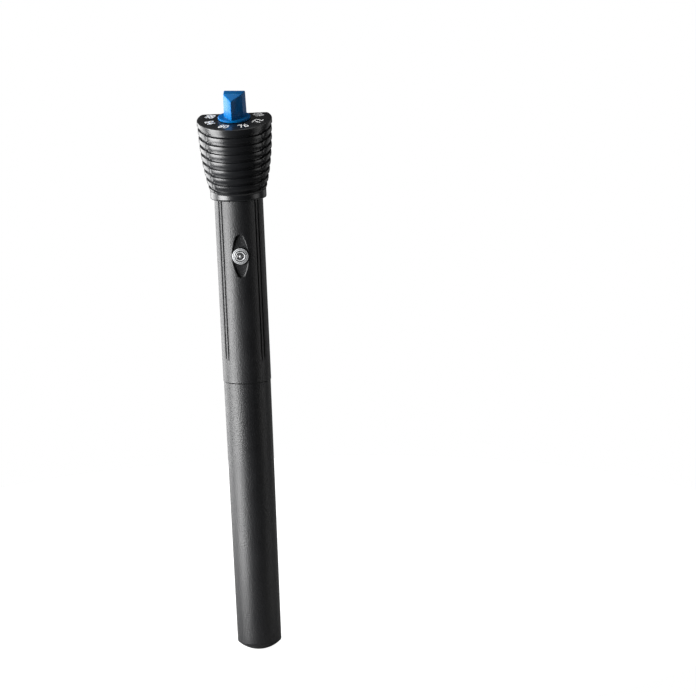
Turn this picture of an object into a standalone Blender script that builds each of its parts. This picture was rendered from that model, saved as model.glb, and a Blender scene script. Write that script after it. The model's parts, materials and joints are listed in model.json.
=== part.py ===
"""Submersible aquarium heater: a ribbed head with a turning dial knob, an upper barrel with an
indicator light, and a lower heating tube, with the thermostat and the heating element inside.

Metres, +Z up the tube. The origin is the centre of the small flat at the tube's tip, and the
front, with the light and the low side of the dial, faces -Y.
"""

import math

import bmesh
import bpy
from mathutils import Euler, Matrix, Vector

# Clearances.
GAP = 0.0003
LOOSE = 0.0008

# Lower tube, from its tip to the seam.
TUBE_LENGTH = 0.141
TUBE_TOP_RADIUS = 0.0120
TUBE_RIM_RADIUS = 0.0113
TUBE_WALL = 0.0020
DOME_HEIGHT = 0.0043
TIP_RADIUS = 0.0035

# Upper barrel, from the seam to the head's lower edge.
BARREL_LENGTH = 0.0935
BARREL_TOP_RADIUS = 0.01235
BARREL_SEAM_RADIUS = 0.01225
BARREL_WALL = 0.0020
SPIGOT_HEIGHT = 0.011
SPIGOT_RADIUS = 0.0116
SPIGOT_BORE = 0.0096
PANEL_GROOVE_ANGLES = (-53.0, -43.0, 43.0, 53.0)
PANEL_GROOVE_RADIUS = 0.0008
PANEL_GROOVE_DEPTH = 0.00045
PANEL_GROOVE_FADE = 0.012

# Indicator window, an eye-shaped recess with a round lens.
WINDOW_DROP = 0.0278
WINDOW_HEIGHT = 0.0215
WINDOW_WIDTH = 0.0086
WINDOW_DEPTH = 0.0013
WINDOW_BOSS_DEPTH = 0.0017
LENS_RADIUS = 0.0041
LENS_STEM_RADIUS = 0.0026
LENS_THICKNESS = 0.0013
LENS_CROWN = 0.0004
GASKET_THICKNESS = 0.0007

# Head: a round ribbed cap about an axis that leans to the front, with a flat sloping back.
HEAD_TILT = math.radians(12.0)
HEAD_HEIGHT = 0.0367
HEAD_TOP_RADIUS = 0.0190
NECK_RADIUS = 0.0152
COLLAR_RADIUS = 0.0142
COLLAR_RISE = 0.0055
COLLAR_EDGE = 0.0008
COLLAR_SLOPE_TOP = 0.0016
FLARE_POWER = 2.25
HEAD_WALL = 0.0026
DIAL_THICKNESS = 0.0038
GROOVE_COUNT = 8
LOWEST_GROOVE_RISE = 0.00085
GROOVE_WIDTH = 0.0013
GROOVE_DEPTH = 0.0011
RIM_EDGE = 0.0005
BACK_CHORD = 0.0089
BACK_LEAN = math.radians(10.3)

# Cord gland on the back of the head. The bore takes a round mains lead.
GLAND_HEIGHT = 0.017
GLAND_REACH = 0.0162
GLAND_RADIUS = 0.0060
CORD_BORE = 0.0031
GROMMET_RADIUS = 0.0043
GROMMET_LENGTH = 0.0030
GLAND_LEDGE = 0.0060
GLAND_CAP_FLANGE = 0.0017
GLAND_CAP_CHAMFER = 0.0005
GLAND_SLOT_WIDTH = 0.0014
GLAND_SLOT_DEPTH = 0.0010
GLAND_BOSS_LENGTH = 0.0110
CORD_BORE_START = 0.0020

# Knob, turned from the low end of the scale to the high end. It rests a little off the front.
KNOB_REST = math.radians(-8.0)
KNOB_HEIGHT = 0.0132
KNOB_FLANGE_RADIUS = 0.0082
KNOB_FLANGE_THICKNESS = 0.0011
KNOB_POINT = 0.0080
KNOB_SHOULDER = 0.00135
KNOB_HALF_WIDTH = 0.0048
KNOB_BACK = 0.0050
KNOB_BACK_HALF_WIDTH = 0.0055
KNOB_SLOPE = math.radians(16.0)
KNOB_EDGE = 0.0003
KNOB_SOCKET_DEPTH = 0.0070

# Shaft and thermostat control under the dial.
SHAFT_RADIUS = 0.0026
SHAFT_FLAT = 0.0006
BUSH_RADIUS = 0.0040
BUSH_FLANGE_RADIUS = 0.0056
BUSH_FLANGE_THICKNESS = 0.0010
SHAFT_SEAL_SECTION = 0.0008
SEAL_RETAINER_THICKNESS = 0.0010
CLIP_THICKNESS = 0.0008
CLIP_WIDTH = 0.0016
CLIP_MOUTH_REACH = 0.0100
CLIP_MOUTH_HEIGHT = 0.0040
CONTROL_SIZE = 0.0110
CONTROL_HEIGHT = 0.0065
ROTOR_RADIUS = 0.0039
ROTOR_HEIGHT = 0.0034
CARRIER_RADIUS = 0.0104
CARRIER_THICKNESS = 0.0016
CARRIER_NOTCH = 0.008
CONTROL_WIRE_RADIUS = 0.0005
CONTROL_WIRE_PITCH = 0.0018

# Seal rings of the housing.
HEAD_SEAL_SECTION = 0.00045
COUPLING_SEAL_SECTION = 0.0005
SEAL_GROOVE_MARGIN = 0.00025

# Coupling sleeve inside the seam.
COUPLING_REACH = 0.0100
COUPLING_BORE = 0.0070
BARRIER_THICKNESS = 0.0016

# Control board and what it carries.
BOARD_WIDTH = 0.0170
BOARD_THICKNESS = 0.0016
BOARD_OFFSET = 0.0020
BOARD_ABOVE_SEAM = 0.011
BOARD_BELOW_RIM = 0.003
SPACER_THICKNESS = 0.0025
SPACER_NOTCH = 0.0090
SPACER_NOTCH_REACH = 0.0050
LOWER_SPACER_RISE = 0.004
UPPER_SPACER_DROP = 0.007
LED_RADIUS = 0.0025
LED_LENGTH = 0.0080
TERMINAL_BLOCK_SIZE = (0.0100, 0.0046, 0.0080)
TERMINAL_RISE = 0.0015
TERMINAL_SCREW_RADIUS = 0.0013
TERMINAL_SCREW_LENGTH = 0.0034
TERMINAL_PITCH = 0.0050
SPREADER_SIZE = (0.0140, 0.0012, 0.0220)
TRIAC_SIZE = (0.0100, 0.0045, 0.0090)
TRIAC_RISE = 0.022
FILM_CAPACITOR_SIZE = (0.0130, 0.0058, 0.0100)
FILM_CAPACITOR_RISE = 0.018
ELECTROLYTIC_RADIUS = 0.0031
ELECTROLYTIC_LENGTH = 0.0110
ELECTROLYTIC_RISE = 0.034
RESISTOR_RADIUS = 0.0017
RESISTOR_LENGTH = 0.0100
RESISTOR_RISE = 0.007
RESISTOR_SIDE = 0.0045
CHIP_SIZE = (0.0064, 0.0030, 0.0095)
CHIP_RISE = 0.012
CHIP_SIDE = 0.0030
THERMISTOR_RADIUS = 0.0014
THERMISTOR_LENGTH = 0.0032
THERMISTOR_RISE = 0.0015
THERMISTOR_LEAD_RADIUS = 0.0005

# Heating element.
CORE_RADIUS = 0.0055
CORE_LENGTH = 0.104
CORE_FLOOR = 0.014
COIL_WIRE_RADIUS = 0.0005
COIL_TURNS = 13
COIL_STEPS = 10
COIL_MARGIN = 0.010
SLEEVE_WALL = 0.0007
INSULATOR_THICKNESS = 0.0030
CUSHION_THICKNESS = 0.0045
LEAD_RADIUS = 0.0007
LEAD_SPACING = 0.0040
CUTOFF_RADIUS = 0.0019
CUTOFF_LENGTH = 0.0090

# Small rounded edges of the moulded and folded pieces.
RESIN_EDGE = 0.0004
SPREADER_EDGE = 0.0002
FILM_CAPACITOR_EDGE = 0.0005

# Routes of the thin wires: how far out, and how far above the point that each starts or ends at.
CONTROL_WIRE_TAIL = ((0.0, 0.0020), (0.0004, 0.0))
CONTROL_WIRE_SLOT = (0.0008, 0.0030)
CONTROL_WIRE_ROUTE = ((0.0062, 0.0040), (0.0035, 0.0), (0.0022, -0.0040))
THERMISTOR_SIDE = 0.0028
THERMISTOR_REACH = 0.0072
THERMISTOR_STRAIGHT = 0.0045
THERMISTOR_ROUTE = ((0.0062, 0.0080), (0.0040, 0.0092))
THERMISTOR_END_RISE = 0.0095

# Turned outlines of the lens's crown and the light's dome, as shares of the radius and the rise.
LENS_CROWN_SHAPE = ((0.0, 1.0), (0.55, 0.7), (0.8, 0.0))
LED_DOME_SHAPE = ((0.0, 0.0), (0.5, 0.13), (0.87, 0.5), (1.0, 1.0))
LED_FLANGE = 0.0010
LED_FLANGE_RIM = 0.0004

# Cutters: the side of a box that takes a whole face away, and how far a cut runs past its face.
CUTTER_SIZE = 0.0800
CUT_OVERRUN = 0.0020
WINDOW_BORE_START = 0.0040

# Sides of the round shapes.
FINE = 50
MEDIUM = 32
COARSE = 20

SEAM = TUBE_LENGTH
LOWEST_GROOVE = COLLAR_SLOPE_TOP + LOWEST_GROOVE_RISE
GROOVE_PITCH = (HEAD_HEIGHT - DIAL_THICKNESS - LOWEST_GROOVE) / (GROOVE_COUNT - 1)
BARREL_TOP = SEAM + BARREL_LENGTH
SPIGOT_TOP = BARREL_TOP + SPIGOT_HEIGHT
WINDOW_HEIGHT_ABOVE_TIP = BARREL_TOP - WINDOW_DROP
WINDOW_FLOOR = BARREL_TOP_RADIUS - WINDOW_DEPTH
BOARD_FRONT = BOARD_OFFSET - BOARD_THICKNESS / 2
BOARD_BACK = BOARD_OFFSET + BOARD_THICKNESS / 2
BOARD_LOW = SEAM + BOARD_ABOVE_SEAM
BOARD_HIGH = SPIGOT_TOP - BOARD_BELOW_RIM
CORE_TOP = CORE_FLOOR + CORE_LENGTH

PLASTIC_BLACK = ("housing_plastic", (0.030, 0.031, 0.033), 0.42, 0.0)
TUBE_BLACK = ("tube_plastic", (0.024, 0.025, 0.027), 0.55, 0.0)
KNOB_BLUE = ("knob_plastic", (0.020, 0.190, 0.560), 0.32, 0.0)
CLEAR = ("lens_clear", (0.620, 0.640, 0.640), 0.10, 0.0)
RUBBER = ("seal_rubber", (0.020, 0.020, 0.020), 0.80, 0.0)
STEEL = ("steel", (0.620, 0.620, 0.630), 0.28, 1.0)
BRASS = ("brass", (0.730, 0.560, 0.260), 0.30, 1.0)
ALUMINIUM = ("aluminium", (0.720, 0.730, 0.740), 0.40, 1.0)
NYLON = ("nylon", (0.780, 0.770, 0.720), 0.50, 0.0)
LAMINATE = ("board_laminate", (0.040, 0.210, 0.100), 0.45, 0.0)
DARK_RESIN = ("component_resin", (0.035, 0.035, 0.038), 0.50, 0.0)
FILM_BOX = ("film_box", (0.620, 0.120, 0.060), 0.40, 0.0)
CAN_SLEEVE = ("can_sleeve", (0.030, 0.060, 0.160), 0.35, 0.0)
RESISTOR_COAT = ("resistor_coat", (0.420, 0.560, 0.640), 0.45, 0.0)
CERAMIC = ("ceramic", (0.830, 0.810, 0.760), 0.60, 0.0)
MICA = ("mica", (0.520, 0.430, 0.280), 0.45, 0.0)
NICHROME = ("heating_wire", (0.480, 0.450, 0.420), 0.35, 1.0)
SILICONE = ("silicone", (0.720, 0.260, 0.180), 0.65, 0.0)
WIRE_RED = ("wire_red", (0.500, 0.050, 0.040), 0.45, 0.0)
WIRE_WHITE = ("wire_white", (0.780, 0.780, 0.760), 0.45, 0.0)


def clear_scene():
    for obj in list(bpy.data.objects):
        bpy.data.objects.remove(obj, do_unlink=True)


def new_collection(name):
    collection = bpy.data.collections.new(name)
    bpy.context.scene.collection.children.link(collection)
    return collection


clear_scene()
PARTS = new_collection("aquarium_heater")
CUTTERS = new_collection("heater_cutters")


def material_for(part_name, finish):
    """A material of the part's own, in one of the finishes above."""
    finish_name, colour, roughness, metallic = finish
    material = bpy.data.materials.new(f"{part_name}_{finish_name}")
    material.use_nodes = True
    shader = material.node_tree.nodes["Principled BSDF"]
    shader.inputs["Base Color"].default_value = (*colour, 1.0)
    shader.inputs["Roughness"].default_value = roughness
    shader.inputs["Metallic"].default_value = metallic
    return material


def frame(name, location, tilt=0.0, turn=0.0, parent=None):
    """An empty that stands for an axis of the object: tilted about X, then turned about its own Z."""
    empty = bpy.data.objects.new(name, None)
    PARTS.objects.link(empty)
    empty.parent = parent
    turned = Euler((tilt, 0.0, 0.0)).to_matrix() @ Euler((0.0, 0.0, turn)).to_matrix()
    empty.matrix_basis = Matrix.Translation(location) @ turned.to_4x4()
    return empty


PIVOT = Vector((0.0, 0.0, BARREL_TOP + COLLAR_RISE))
HEAD = frame("head_axis", PIVOT, tilt=HEAD_TILT)
KNOB = frame("knob_axis", (0.0, 0.0, HEAD_HEIGHT), turn=KNOB_REST, parent=HEAD)
UP_TO_FRONT = Euler((math.radians(90.0), 0.0, 0.0))
UP_TO_BACK = Euler((math.radians(-90.0), 0.0, 0.0))


def add_object(name, data, finish=None, parent=None, location=(0, 0, 0), rotation=(0, 0, 0)):
    """Adds a part when it has a finish, and a cutter when it has none."""
    obj = bpy.data.objects.new(name, data)
    obj.parent = parent
    obj.location = location
    obj.rotation_euler = rotation
    if finish:
        obj.data.materials.append(material_for(name, finish))
        PARTS.objects.link(obj)
    else:
        obj.hide_render = True
        obj.display_type = "WIRE"
        CUTTERS.objects.link(obj)
    return obj


def turned(name, profile, finish=None, sides=MEDIUM, closed=False, **place):
    """A turned shape. The profile's (radius, height) points run down its outer side."""
    mesh = bpy.data.meshes.new(name)
    shape = bmesh.new()
    points = [shape.verts.new((radius, 0.0, height)) for radius, height in profile]
    for first, second in zip(points, points[1:]):
        shape.edges.new((first, second))
    if closed:
        shape.edges.new((points[-1], points[0]))
    shape.to_mesh(mesh)
    shape.free()
    obj = add_object(name, mesh, finish, **place)
    screw = obj.modifiers.new("turn", "SCREW")
    screw.steps = sides
    screw.render_steps = sides
    screw.use_merge_vertices = True
    screw.merge_threshold = 0.00001
    return obj


def disc(name, radius, low, high, finish=None, sides=MEDIUM, **place):
    profile = [(0.0, high), (radius, high), (radius, low), (0.0, low)]
    return turned(name, profile, finish, sides, **place)


def ring(name, outer, inner, low, high, finish=None, sides=MEDIUM, **place):
    profile = [(outer, high), (outer, low), (inner, low), (inner, high)]
    return turned(name, profile, finish, sides, closed=True, **place)


def seal_ring(name, centre_radius, section, height, finish=RUBBER, sides=MEDIUM, **place):
    """A round-section ring about Z."""
    points = [math.radians(60.0 * step) for step in range(6)]
    profile = [
        (centre_radius + section * math.cos(angle), height - section * math.sin(angle))
        for angle in points
    ]
    return turned(name, profile, finish, sides, closed=True, **place)


def box(name, size, centre, finish=None, bevel=0.0, **place):
    mesh = bpy.data.meshes.new(name)
    shape = bmesh.new()
    bmesh.ops.create_cube(shape, size=1.0)
    bmesh.ops.scale(shape, vec=size, verts=shape.verts)
    bmesh.ops.translate(shape, vec=centre, verts=shape.verts)
    shape.to_mesh(mesh)
    shape.free()
    obj = add_object(name, mesh, finish, **place)
    if bevel:
        add_bevel(obj, bevel)
    return obj


def add_bevel(obj, width, segments=1):
    bevel = obj.modifiers.new("edges", "BEVEL")
    bevel.width = width
    bevel.segments = segments
    bevel.limit_method = "ANGLE"
    bevel.angle_limit = math.radians(40.0)


def combine(target, tool, operation):
    """A Boolean with a helper object, which is left out of the model."""
    modifier = target.modifiers.new(f"{operation.lower()}_{tool.name}", "BOOLEAN")
    modifier.operation = operation
    modifier.solver = "EXACT"
    modifier.object = tool
    return target


def cut(target, tool):
    return combine(target, tool, "DIFFERENCE")


def join(target, tool):
    return combine(target, tool, "UNION")


def prism(name, outline, depth, finish=None, **place):
    """A flat outline in X and Y, raised along Z to the depth on both sides of its plane."""
    curve = bpy.data.curves.new(name, "CURVE")
    curve.dimensions = "2D"
    curve.fill_mode = "BOTH"
    curve.extrude = depth
    spline = curve.splines.new("POLY")
    spline.points.add(len(outline) - 1)
    for point, (x, y) in zip(spline.points, outline):
        point.co = (x, y, 0.0, 1.0)
    spline.use_cyclic_u = True
    guide = bpy.data.objects.new(f"{name}_outline", curve)
    CUTTERS.objects.link(guide)
    mesh = welded_mesh(guide)
    bpy.data.objects.remove(guide, do_unlink=True)
    return add_object(name, mesh, finish, **place)


def welded_mesh(curve_object):
    """The mesh of a curve, with its loose caps welded on."""
    bpy.context.view_layer.update()
    graph = bpy.context.evaluated_depsgraph_get()
    mesh = bpy.data.meshes.new_from_object(curve_object.evaluated_get(graph))
    shape = bmesh.new()
    shape.from_mesh(mesh)
    bmesh.ops.remove_doubles(shape, verts=shape.verts, dist=0.000005)
    bmesh.ops.recalc_face_normals(shape, faces=shape.faces)
    shape.to_mesh(mesh)
    shape.free()
    return mesh


def wire(name, points, radius, finish, **place):
    """A round wire through the points."""
    curve = bpy.data.curves.new(name, "CURVE")
    curve.dimensions = "3D"
    curve.bevel_depth = radius
    curve.bevel_resolution = 2
    curve.use_fill_caps = True
    spline = curve.splines.new("POLY")
    spline.points.add(len(points) - 1)
    for point, place_at in zip(spline.points, points):
        point.co = (*place_at, 1.0)
    return add_object(name, curve, finish, **place)


def tube_radius(height):
    """The outer radius of the lower tube, which tapers to the rim of its dome."""
    share = (height - DOME_HEIGHT) / (TUBE_LENGTH - DOME_HEIGHT)
    return TUBE_RIM_RADIUS + (TUBE_TOP_RADIUS - TUBE_RIM_RADIUS) * share


def barrel_radius(height):
    share = (height - SEAM) / BARREL_LENGTH
    return BARREL_SEAM_RADIUS + (BARREL_TOP_RADIUS - BARREL_SEAM_RADIUS) * share


def dome_profile(rim_radius, tip_radius, height, lift, steps):
    """Points from a dome's rim down to its flat tip, on a sphere."""
    rise = (rim_radius**2 - tip_radius**2) / (2.0 * height) - height / 2.0
    sphere = math.hypot(rim_radius, rise)
    start = math.asin(rim_radius / sphere)
    end = math.asin(tip_radius / sphere)
    angles = [start + (end - start) * step / steps for step in range(steps + 1)]
    centre = lift + height + rise
    return [(sphere * math.sin(angle), centre - sphere * math.cos(angle)) for angle in angles]


def head_radius(height):
    """The outer radius of the head about its leaning axis, which flares fast and then stands up."""
    span = HEAD_HEIGHT - COLLAR_SLOPE_TOP
    drop = (HEAD_HEIGHT - height) / span
    return HEAD_TOP_RADIUS - (HEAD_TOP_RADIUS - NECK_RADIUS) * drop**FLARE_POWER


def rib_profile():
    """The head's outer side from the dial's edge down, with its grooves."""
    points = [(0.0, HEAD_HEIGHT), (HEAD_TOP_RADIUS - RIM_EDGE, HEAD_HEIGHT)]
    points.append((head_radius(HEAD_HEIGHT - RIM_EDGE), HEAD_HEIGHT - RIM_EDGE))
    for number in range(GROOVE_COUNT):
        middle = HEAD_HEIGHT - DIAL_THICKNESS - number * GROOVE_PITCH
        for offset, depth in ((0.5, 0.0), (0.3, GROOVE_DEPTH), (-0.3, GROOVE_DEPTH), (-0.5, 0.0)):
            height = middle + offset * GROOVE_WIDTH
            points.append((head_radius(height) - depth, height))
    foot = COLLAR_SLOPE_TOP - GROOVE_WIDTH
    points += [(head_radius(foot), foot), (0.0, foot)]
    return points


def back_box(name, wall):
    """A box whose front face is the head's sloping back, moved in by the wall."""
    size = (CUTTER_SIZE, CUTTER_SIZE, CUTTER_SIZE)
    lean = Euler((BACK_LEAN, 0.0, 0.0))
    chord = Vector((0.0, BACK_CHORD, HEAD_HEIGHT))
    inward = lean.to_matrix() @ Vector((0.0, CUTTER_SIZE / 2 - wall, 0.0))
    return box(name, size, (0, 0, 0), parent=HEAD, location=chord + inward, rotation=lean)


def lower_tube():
    inner_rim = TUBE_RIM_RADIUS - TUBE_WALL
    outer = [(TUBE_TOP_RADIUS, TUBE_LENGTH)]
    outer += dome_profile(TUBE_RIM_RADIUS, TIP_RADIUS, DOME_HEIGHT, 0.0, 5)
    outer.append((0.0, 0.0))
    inner = [(0.0, TUBE_WALL)]
    inner += reversed(dome_profile(inner_rim, TIP_RADIUS, DOME_HEIGHT, TUBE_WALL, 3))
    inner.append((TUBE_TOP_RADIUS - TUBE_WALL, TUBE_LENGTH))
    turned("lower_tube", outer + inner, TUBE_BLACK, FINE, closed=True)


def upper_barrel():
    top, bottom = BARREL_TOP, SEAM + GAP
    groove_low = BARREL_TOP + SPIGOT_HEIGHT * 0.5 - HEAD_SEAL_SECTION - SEAL_GROOVE_MARGIN
    groove_high = BARREL_TOP + SPIGOT_HEIGHT * 0.5 + HEAD_SEAL_SECTION + SEAL_GROOVE_MARGIN
    groove_floor = head_seal_radius() - HEAD_SEAL_SECTION - SEAL_GROOVE_MARGIN
    profile = [
        (SPIGOT_RADIUS, SPIGOT_TOP),
        (SPIGOT_RADIUS, groove_high),
        (groove_floor, groove_high),
        (groove_floor, groove_low),
        (SPIGOT_RADIUS, groove_low),
        (SPIGOT_RADIUS, top),
        (BARREL_TOP_RADIUS, top),
        (BARREL_SEAM_RADIUS, bottom),
        (BARREL_SEAM_RADIUS - BARREL_WALL, bottom),
        (BARREL_TOP_RADIUS - BARREL_WALL, top - BARREL_WALL),
        (SPIGOT_BORE, top),
        (SPIGOT_BORE, SPIGOT_TOP),
    ]
    barrel = turned("upper_barrel", profile, PLASTIC_BLACK, FINE, closed=True)
    for number, angle in enumerate(PANEL_GROOVE_ANGLES, 1):
        cut(barrel, panel_groove(f"panel_groove_{number}", math.radians(angle)))
    window_boss(barrel)
    cut(barrel, window_recess())
    cut(barrel, window_bore())


def window_boss(barrel):
    """Thickens the wall behind the lens, inside the barrel."""
    inner_face = BARREL_TOP_RADIUS - BARREL_WALL - WINDOW_BOSS_DEPTH
    boss = disc(
        "window_boss",
        LENS_RADIUS + BARREL_WALL / 2,
        inner_face,
        WINDOW_FLOOR - GAP,
        location=(0, 0, WINDOW_HEIGHT_ABOVE_TIP),
        rotation=UP_TO_FRONT,
    )
    join(barrel, boss)


def window_outline():
    """An eye shape of two arcs that meet at its top and bottom."""
    half_height, half_width = WINDOW_HEIGHT / 2, WINDOW_WIDTH / 2
    arc_radius = (half_height**2 + half_width**2) / (2.0 * half_width)
    reach = math.asin(half_height / arc_radius)
    steps = 8
    outline = []
    for side in (1, -1):
        for step in range(steps):
            angle = side * (-reach + 2.0 * reach * step / steps)
            x = side * (arc_radius * math.cos(angle) - arc_radius + half_width)
            outline.append((x, arc_radius * math.sin(angle)))
    return outline


def window_recess():
    depth = WINDOW_DEPTH * 3
    place = (0, -WINDOW_FLOOR - depth, WINDOW_HEIGHT_ABOVE_TIP)
    return prism("window_recess", window_outline(), depth, location=place, rotation=UP_TO_FRONT)


def window_bore():
    """The stepped hole for the lens and its gasket."""
    ledge = WINDOW_FLOOR - GASKET_THICKNESS - GAP
    profile = [
        (0.0, WINDOW_FLOOR + WINDOW_DEPTH),
        (LENS_RADIUS + GAP, WINDOW_FLOOR + WINDOW_DEPTH),
        (LENS_RADIUS + GAP, ledge),
        (LENS_STEM_RADIUS + GAP, ledge),
        (LENS_STEM_RADIUS + GAP, WINDOW_BORE_START),
        (0.0, WINDOW_BORE_START),
    ]
    place = (0, 0, WINDOW_HEIGHT_ABOVE_TIP)
    return turned("window_bore", profile, sides=MEDIUM, location=place, rotation=UP_TO_FRONT)


def panel_groove(name, angle):
    """A round-bottomed groove down the barrel's front panel, which fades out above the seam."""
    high, low = BARREL_TOP + LOOSE, SEAM + PANEL_GROOVE_FADE
    high_radius = barrel_radius(high) + PANEL_GROOVE_RADIUS - PANEL_GROOVE_DEPTH
    low_radius = barrel_radius(low) + PANEL_GROOVE_RADIUS
    around = Vector((math.sin(angle), -math.cos(angle), 0.0))
    start = around * low_radius + Vector((0.0, 0.0, low))
    run = around * high_radius + Vector((0.0, 0.0, high)) - start
    lean = run.to_track_quat("Z", "Y").to_euler()
    return disc(name, PANEL_GROOVE_RADIUS, 0.0, run.length, sides=10, location=start, rotation=lean)


def head_seal_radius():
    return SPIGOT_RADIUS - HEAD_SEAL_SECTION - GAP / 2


def head_shell():
    shell = turned("head_shell", rib_profile(), PLASTIC_BLACK, FINE, parent=HEAD)
    above = HEAD_HEIGHT + CUT_OVERRUN
    bush_hole = disc("bush_hole", BUSH_RADIUS + GAP, COLLAR_RISE, above, parent=HEAD)
    cut(shell, bush_hole)
    join(shell, collar())
    cut(shell, back_box("head_back", 0.0))
    join(shell, gland_boss())
    cut(shell, head_cavity())
    below = BARREL_TOP - CUT_OVERRUN
    cut(shell, disc("spigot_socket", SPIGOT_RADIUS + GAP, below, SPIGOT_TOP + GAP, sides=FINE))
    cut(shell, gland_bore())


def collar():
    """The plain band under the ribs: round about the tube, cut off parallel to the dial."""
    low, high = BARREL_TOP + GAP, SPIGOT_TOP + COLLAR_RISE
    profile = [
        (0.0, high),
        (COLLAR_RADIUS, high),
        (COLLAR_RADIUS, low + COLLAR_EDGE),
        (COLLAR_RADIUS - COLLAR_EDGE, low),
        (0.0, low),
    ]
    band = turned("collar", profile, sides=FINE)
    size = (CUTTER_SIZE, CUTTER_SIZE, CUTTER_SIZE)
    middle = (0, 0, COLLAR_SLOPE_TOP + CUTTER_SIZE / 2)
    return cut(band, box("above_collar", size, middle, parent=HEAD))


def head_cavity():
    """The hollow of the head, which keeps its wall inside the grooves and the sloping back."""
    wall = GROOVE_DEPTH + HEAD_WALL
    high, low = HEAD_HEIGHT - DIAL_THICKNESS, COLLAR_SLOPE_TOP
    profile = [
        (0.0, high),
        (head_radius(high) - wall, high),
        (head_radius((high + low) / 2) - wall, (high + low) / 2),
        (SPIGOT_RADIUS - LOOSE, low),
        (0.0, low),
    ]
    hollow = turned("head_cavity", profile, sides=FINE, parent=HEAD)
    return cut(hollow, back_box("back_wall", HEAD_WALL))


def gland_centre():
    return Vector((0.0, 0.0, PIVOT.z + GLAND_HEIGHT))


def gland_ledge():
    """How far back the grommet's seat is."""
    return GLAND_REACH - GLAND_LEDGE


def gland_boss():
    return disc(
        "gland_boss",
        GLAND_RADIUS,
        GLAND_REACH - GLAND_BOSS_LENGTH,
        GLAND_REACH,
        sides=MEDIUM,
        location=gland_centre(),
        rotation=UP_TO_BACK,
    )


def gland_bore():
    wide, narrow = GROMMET_RADIUS + GAP, CORD_BORE + GAP
    beyond = GLAND_REACH + CUT_OVERRUN
    profile = [(0.0, beyond), (wide, beyond), (wide, gland_ledge()), (narrow, gland_ledge())]
    profile += [(narrow, CORD_BORE_START), (0.0, CORD_BORE_START)]
    return turned("gland_bore", profile, location=gland_centre(), rotation=UP_TO_BACK)


def cord_gland():
    """The grommet and the cap that squeeze the cord. The cord itself is left out."""
    place = {"location": gland_centre(), "rotation": UP_TO_BACK}
    low = gland_ledge() + GAP
    high = low + GROMMET_LENGTH
    ring("cord_grommet", GROMMET_RADIUS, CORD_BORE, low, high, RUBBER, **place)
    neck = high + GAP
    face = GLAND_REACH + GAP
    outer_face = face + GLAND_CAP_FLANGE
    profile = [
        (CORD_BORE, outer_face),
        (GLAND_RADIUS - GLAND_CAP_CHAMFER, outer_face),
        (GLAND_RADIUS, outer_face - GLAND_CAP_CHAMFER),
        (GLAND_RADIUS, face),
        (GROMMET_RADIUS, face),
        (GROMMET_RADIUS, neck),
        (CORD_BORE, neck),
    ]
    cap = turned("gland_cap", profile, PLASTIC_BLACK, closed=True, **place)
    for side in (-1, 1):
        slot = box(
            f"gland_cap_slot_{'left' if side < 0 else 'right'}",
            (GLAND_RADIUS - CORD_BORE - LOOSE, GLAND_SLOT_WIDTH, GLAND_SLOT_DEPTH),
            (side * GLAND_RADIUS, 0.0, outer_face),
            **place,
        )
        cut(cap, slot)


def knob_outline():
    """The grip seen along its axis: a ridge to the front, sides that widen, and a flat back."""
    return [
        (0.0, -KNOB_POINT),
        (KNOB_HALF_WIDTH, -KNOB_SHOULDER),
        (KNOB_BACK_HALF_WIDTH, KNOB_BACK),
        (-KNOB_BACK_HALF_WIDTH, KNOB_BACK),
        (-KNOB_HALF_WIDTH, -KNOB_SHOULDER),
    ]


def temperature_knob():
    low, flange_top = GAP, GAP + KNOB_FLANGE_THICKNESS
    profile = [
        (0.0, flange_top),
        (KNOB_FLANGE_RADIUS - KNOB_EDGE, flange_top),
        (KNOB_FLANGE_RADIUS, flange_top - KNOB_EDGE),
        (KNOB_FLANGE_RADIUS, low),
        (0.0, low),
    ]
    knob = turned("temperature_knob", profile, KNOB_BLUE, parent=KNOB)
    half_height = (KNOB_HEIGHT - low) / 2
    place = (0, 0, low + half_height)
    grip = prism("knob_grip", knob_outline(), half_height, parent=KNOB, location=place)
    add_bevel(grip, KNOB_EDGE)
    size = KNOB_HEIGHT * 2
    lean = Euler((KNOB_SLOPE, 0.0, 0.0))
    corner = Vector((0.0, -KNOB_SHOULDER, KNOB_HEIGHT))
    above = corner + lean.to_matrix() @ Vector((0.0, 0.0, size / 2))
    slope = box("knob_slope", (size, size, size), (0, 0, 0), parent=KNOB, location=above, rotation=lean)
    cut(grip, slope)
    join(knob, grip)
    bore = SHAFT_RADIUS + GAP
    socket = disc("knob_socket", bore, -low, low + KNOB_SOCKET_DEPTH, sides=COARSE, parent=KNOB)
    flat_size = (bore * 4, SHAFT_FLAT * 2, KNOB_SOCKET_DEPTH * 3)
    cut(socket, box("knob_socket_flat", flat_size, (0.0, bore, 0.0), parent=KNOB))
    cut(knob, socket)


# Heights of the stack under the dial, measured along the head's axis from its pivot.
DIAL_UNDERSIDE = HEAD_HEIGHT - DIAL_THICKNESS
BUSH_FOOT = DIAL_UNDERSIDE - GAP - BUSH_FLANGE_THICKNESS
UPPER_SEAL = BUSH_FOOT - GAP - SHAFT_SEAL_SECTION
LOWER_SEAL = UPPER_SEAL - 2 * SHAFT_SEAL_SECTION - GAP
RETAINER_TOP = LOWER_SEAL - SHAFT_SEAL_SECTION - GAP
CLIP_TOP = RETAINER_TOP - SEAL_RETAINER_THICKNESS - GAP
CONTROL_TOP = CLIP_TOP - CLIP_THICKNESS - LOOSE
CONTROL_FOOT = CONTROL_TOP - CONTROL_HEIGHT
ROTOR_TOP = CONTROL_TOP - LOOSE
ROTOR_FOOT = ROTOR_TOP - ROTOR_HEIGHT
CARRIER_TOP = CONTROL_FOOT - GAP


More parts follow.
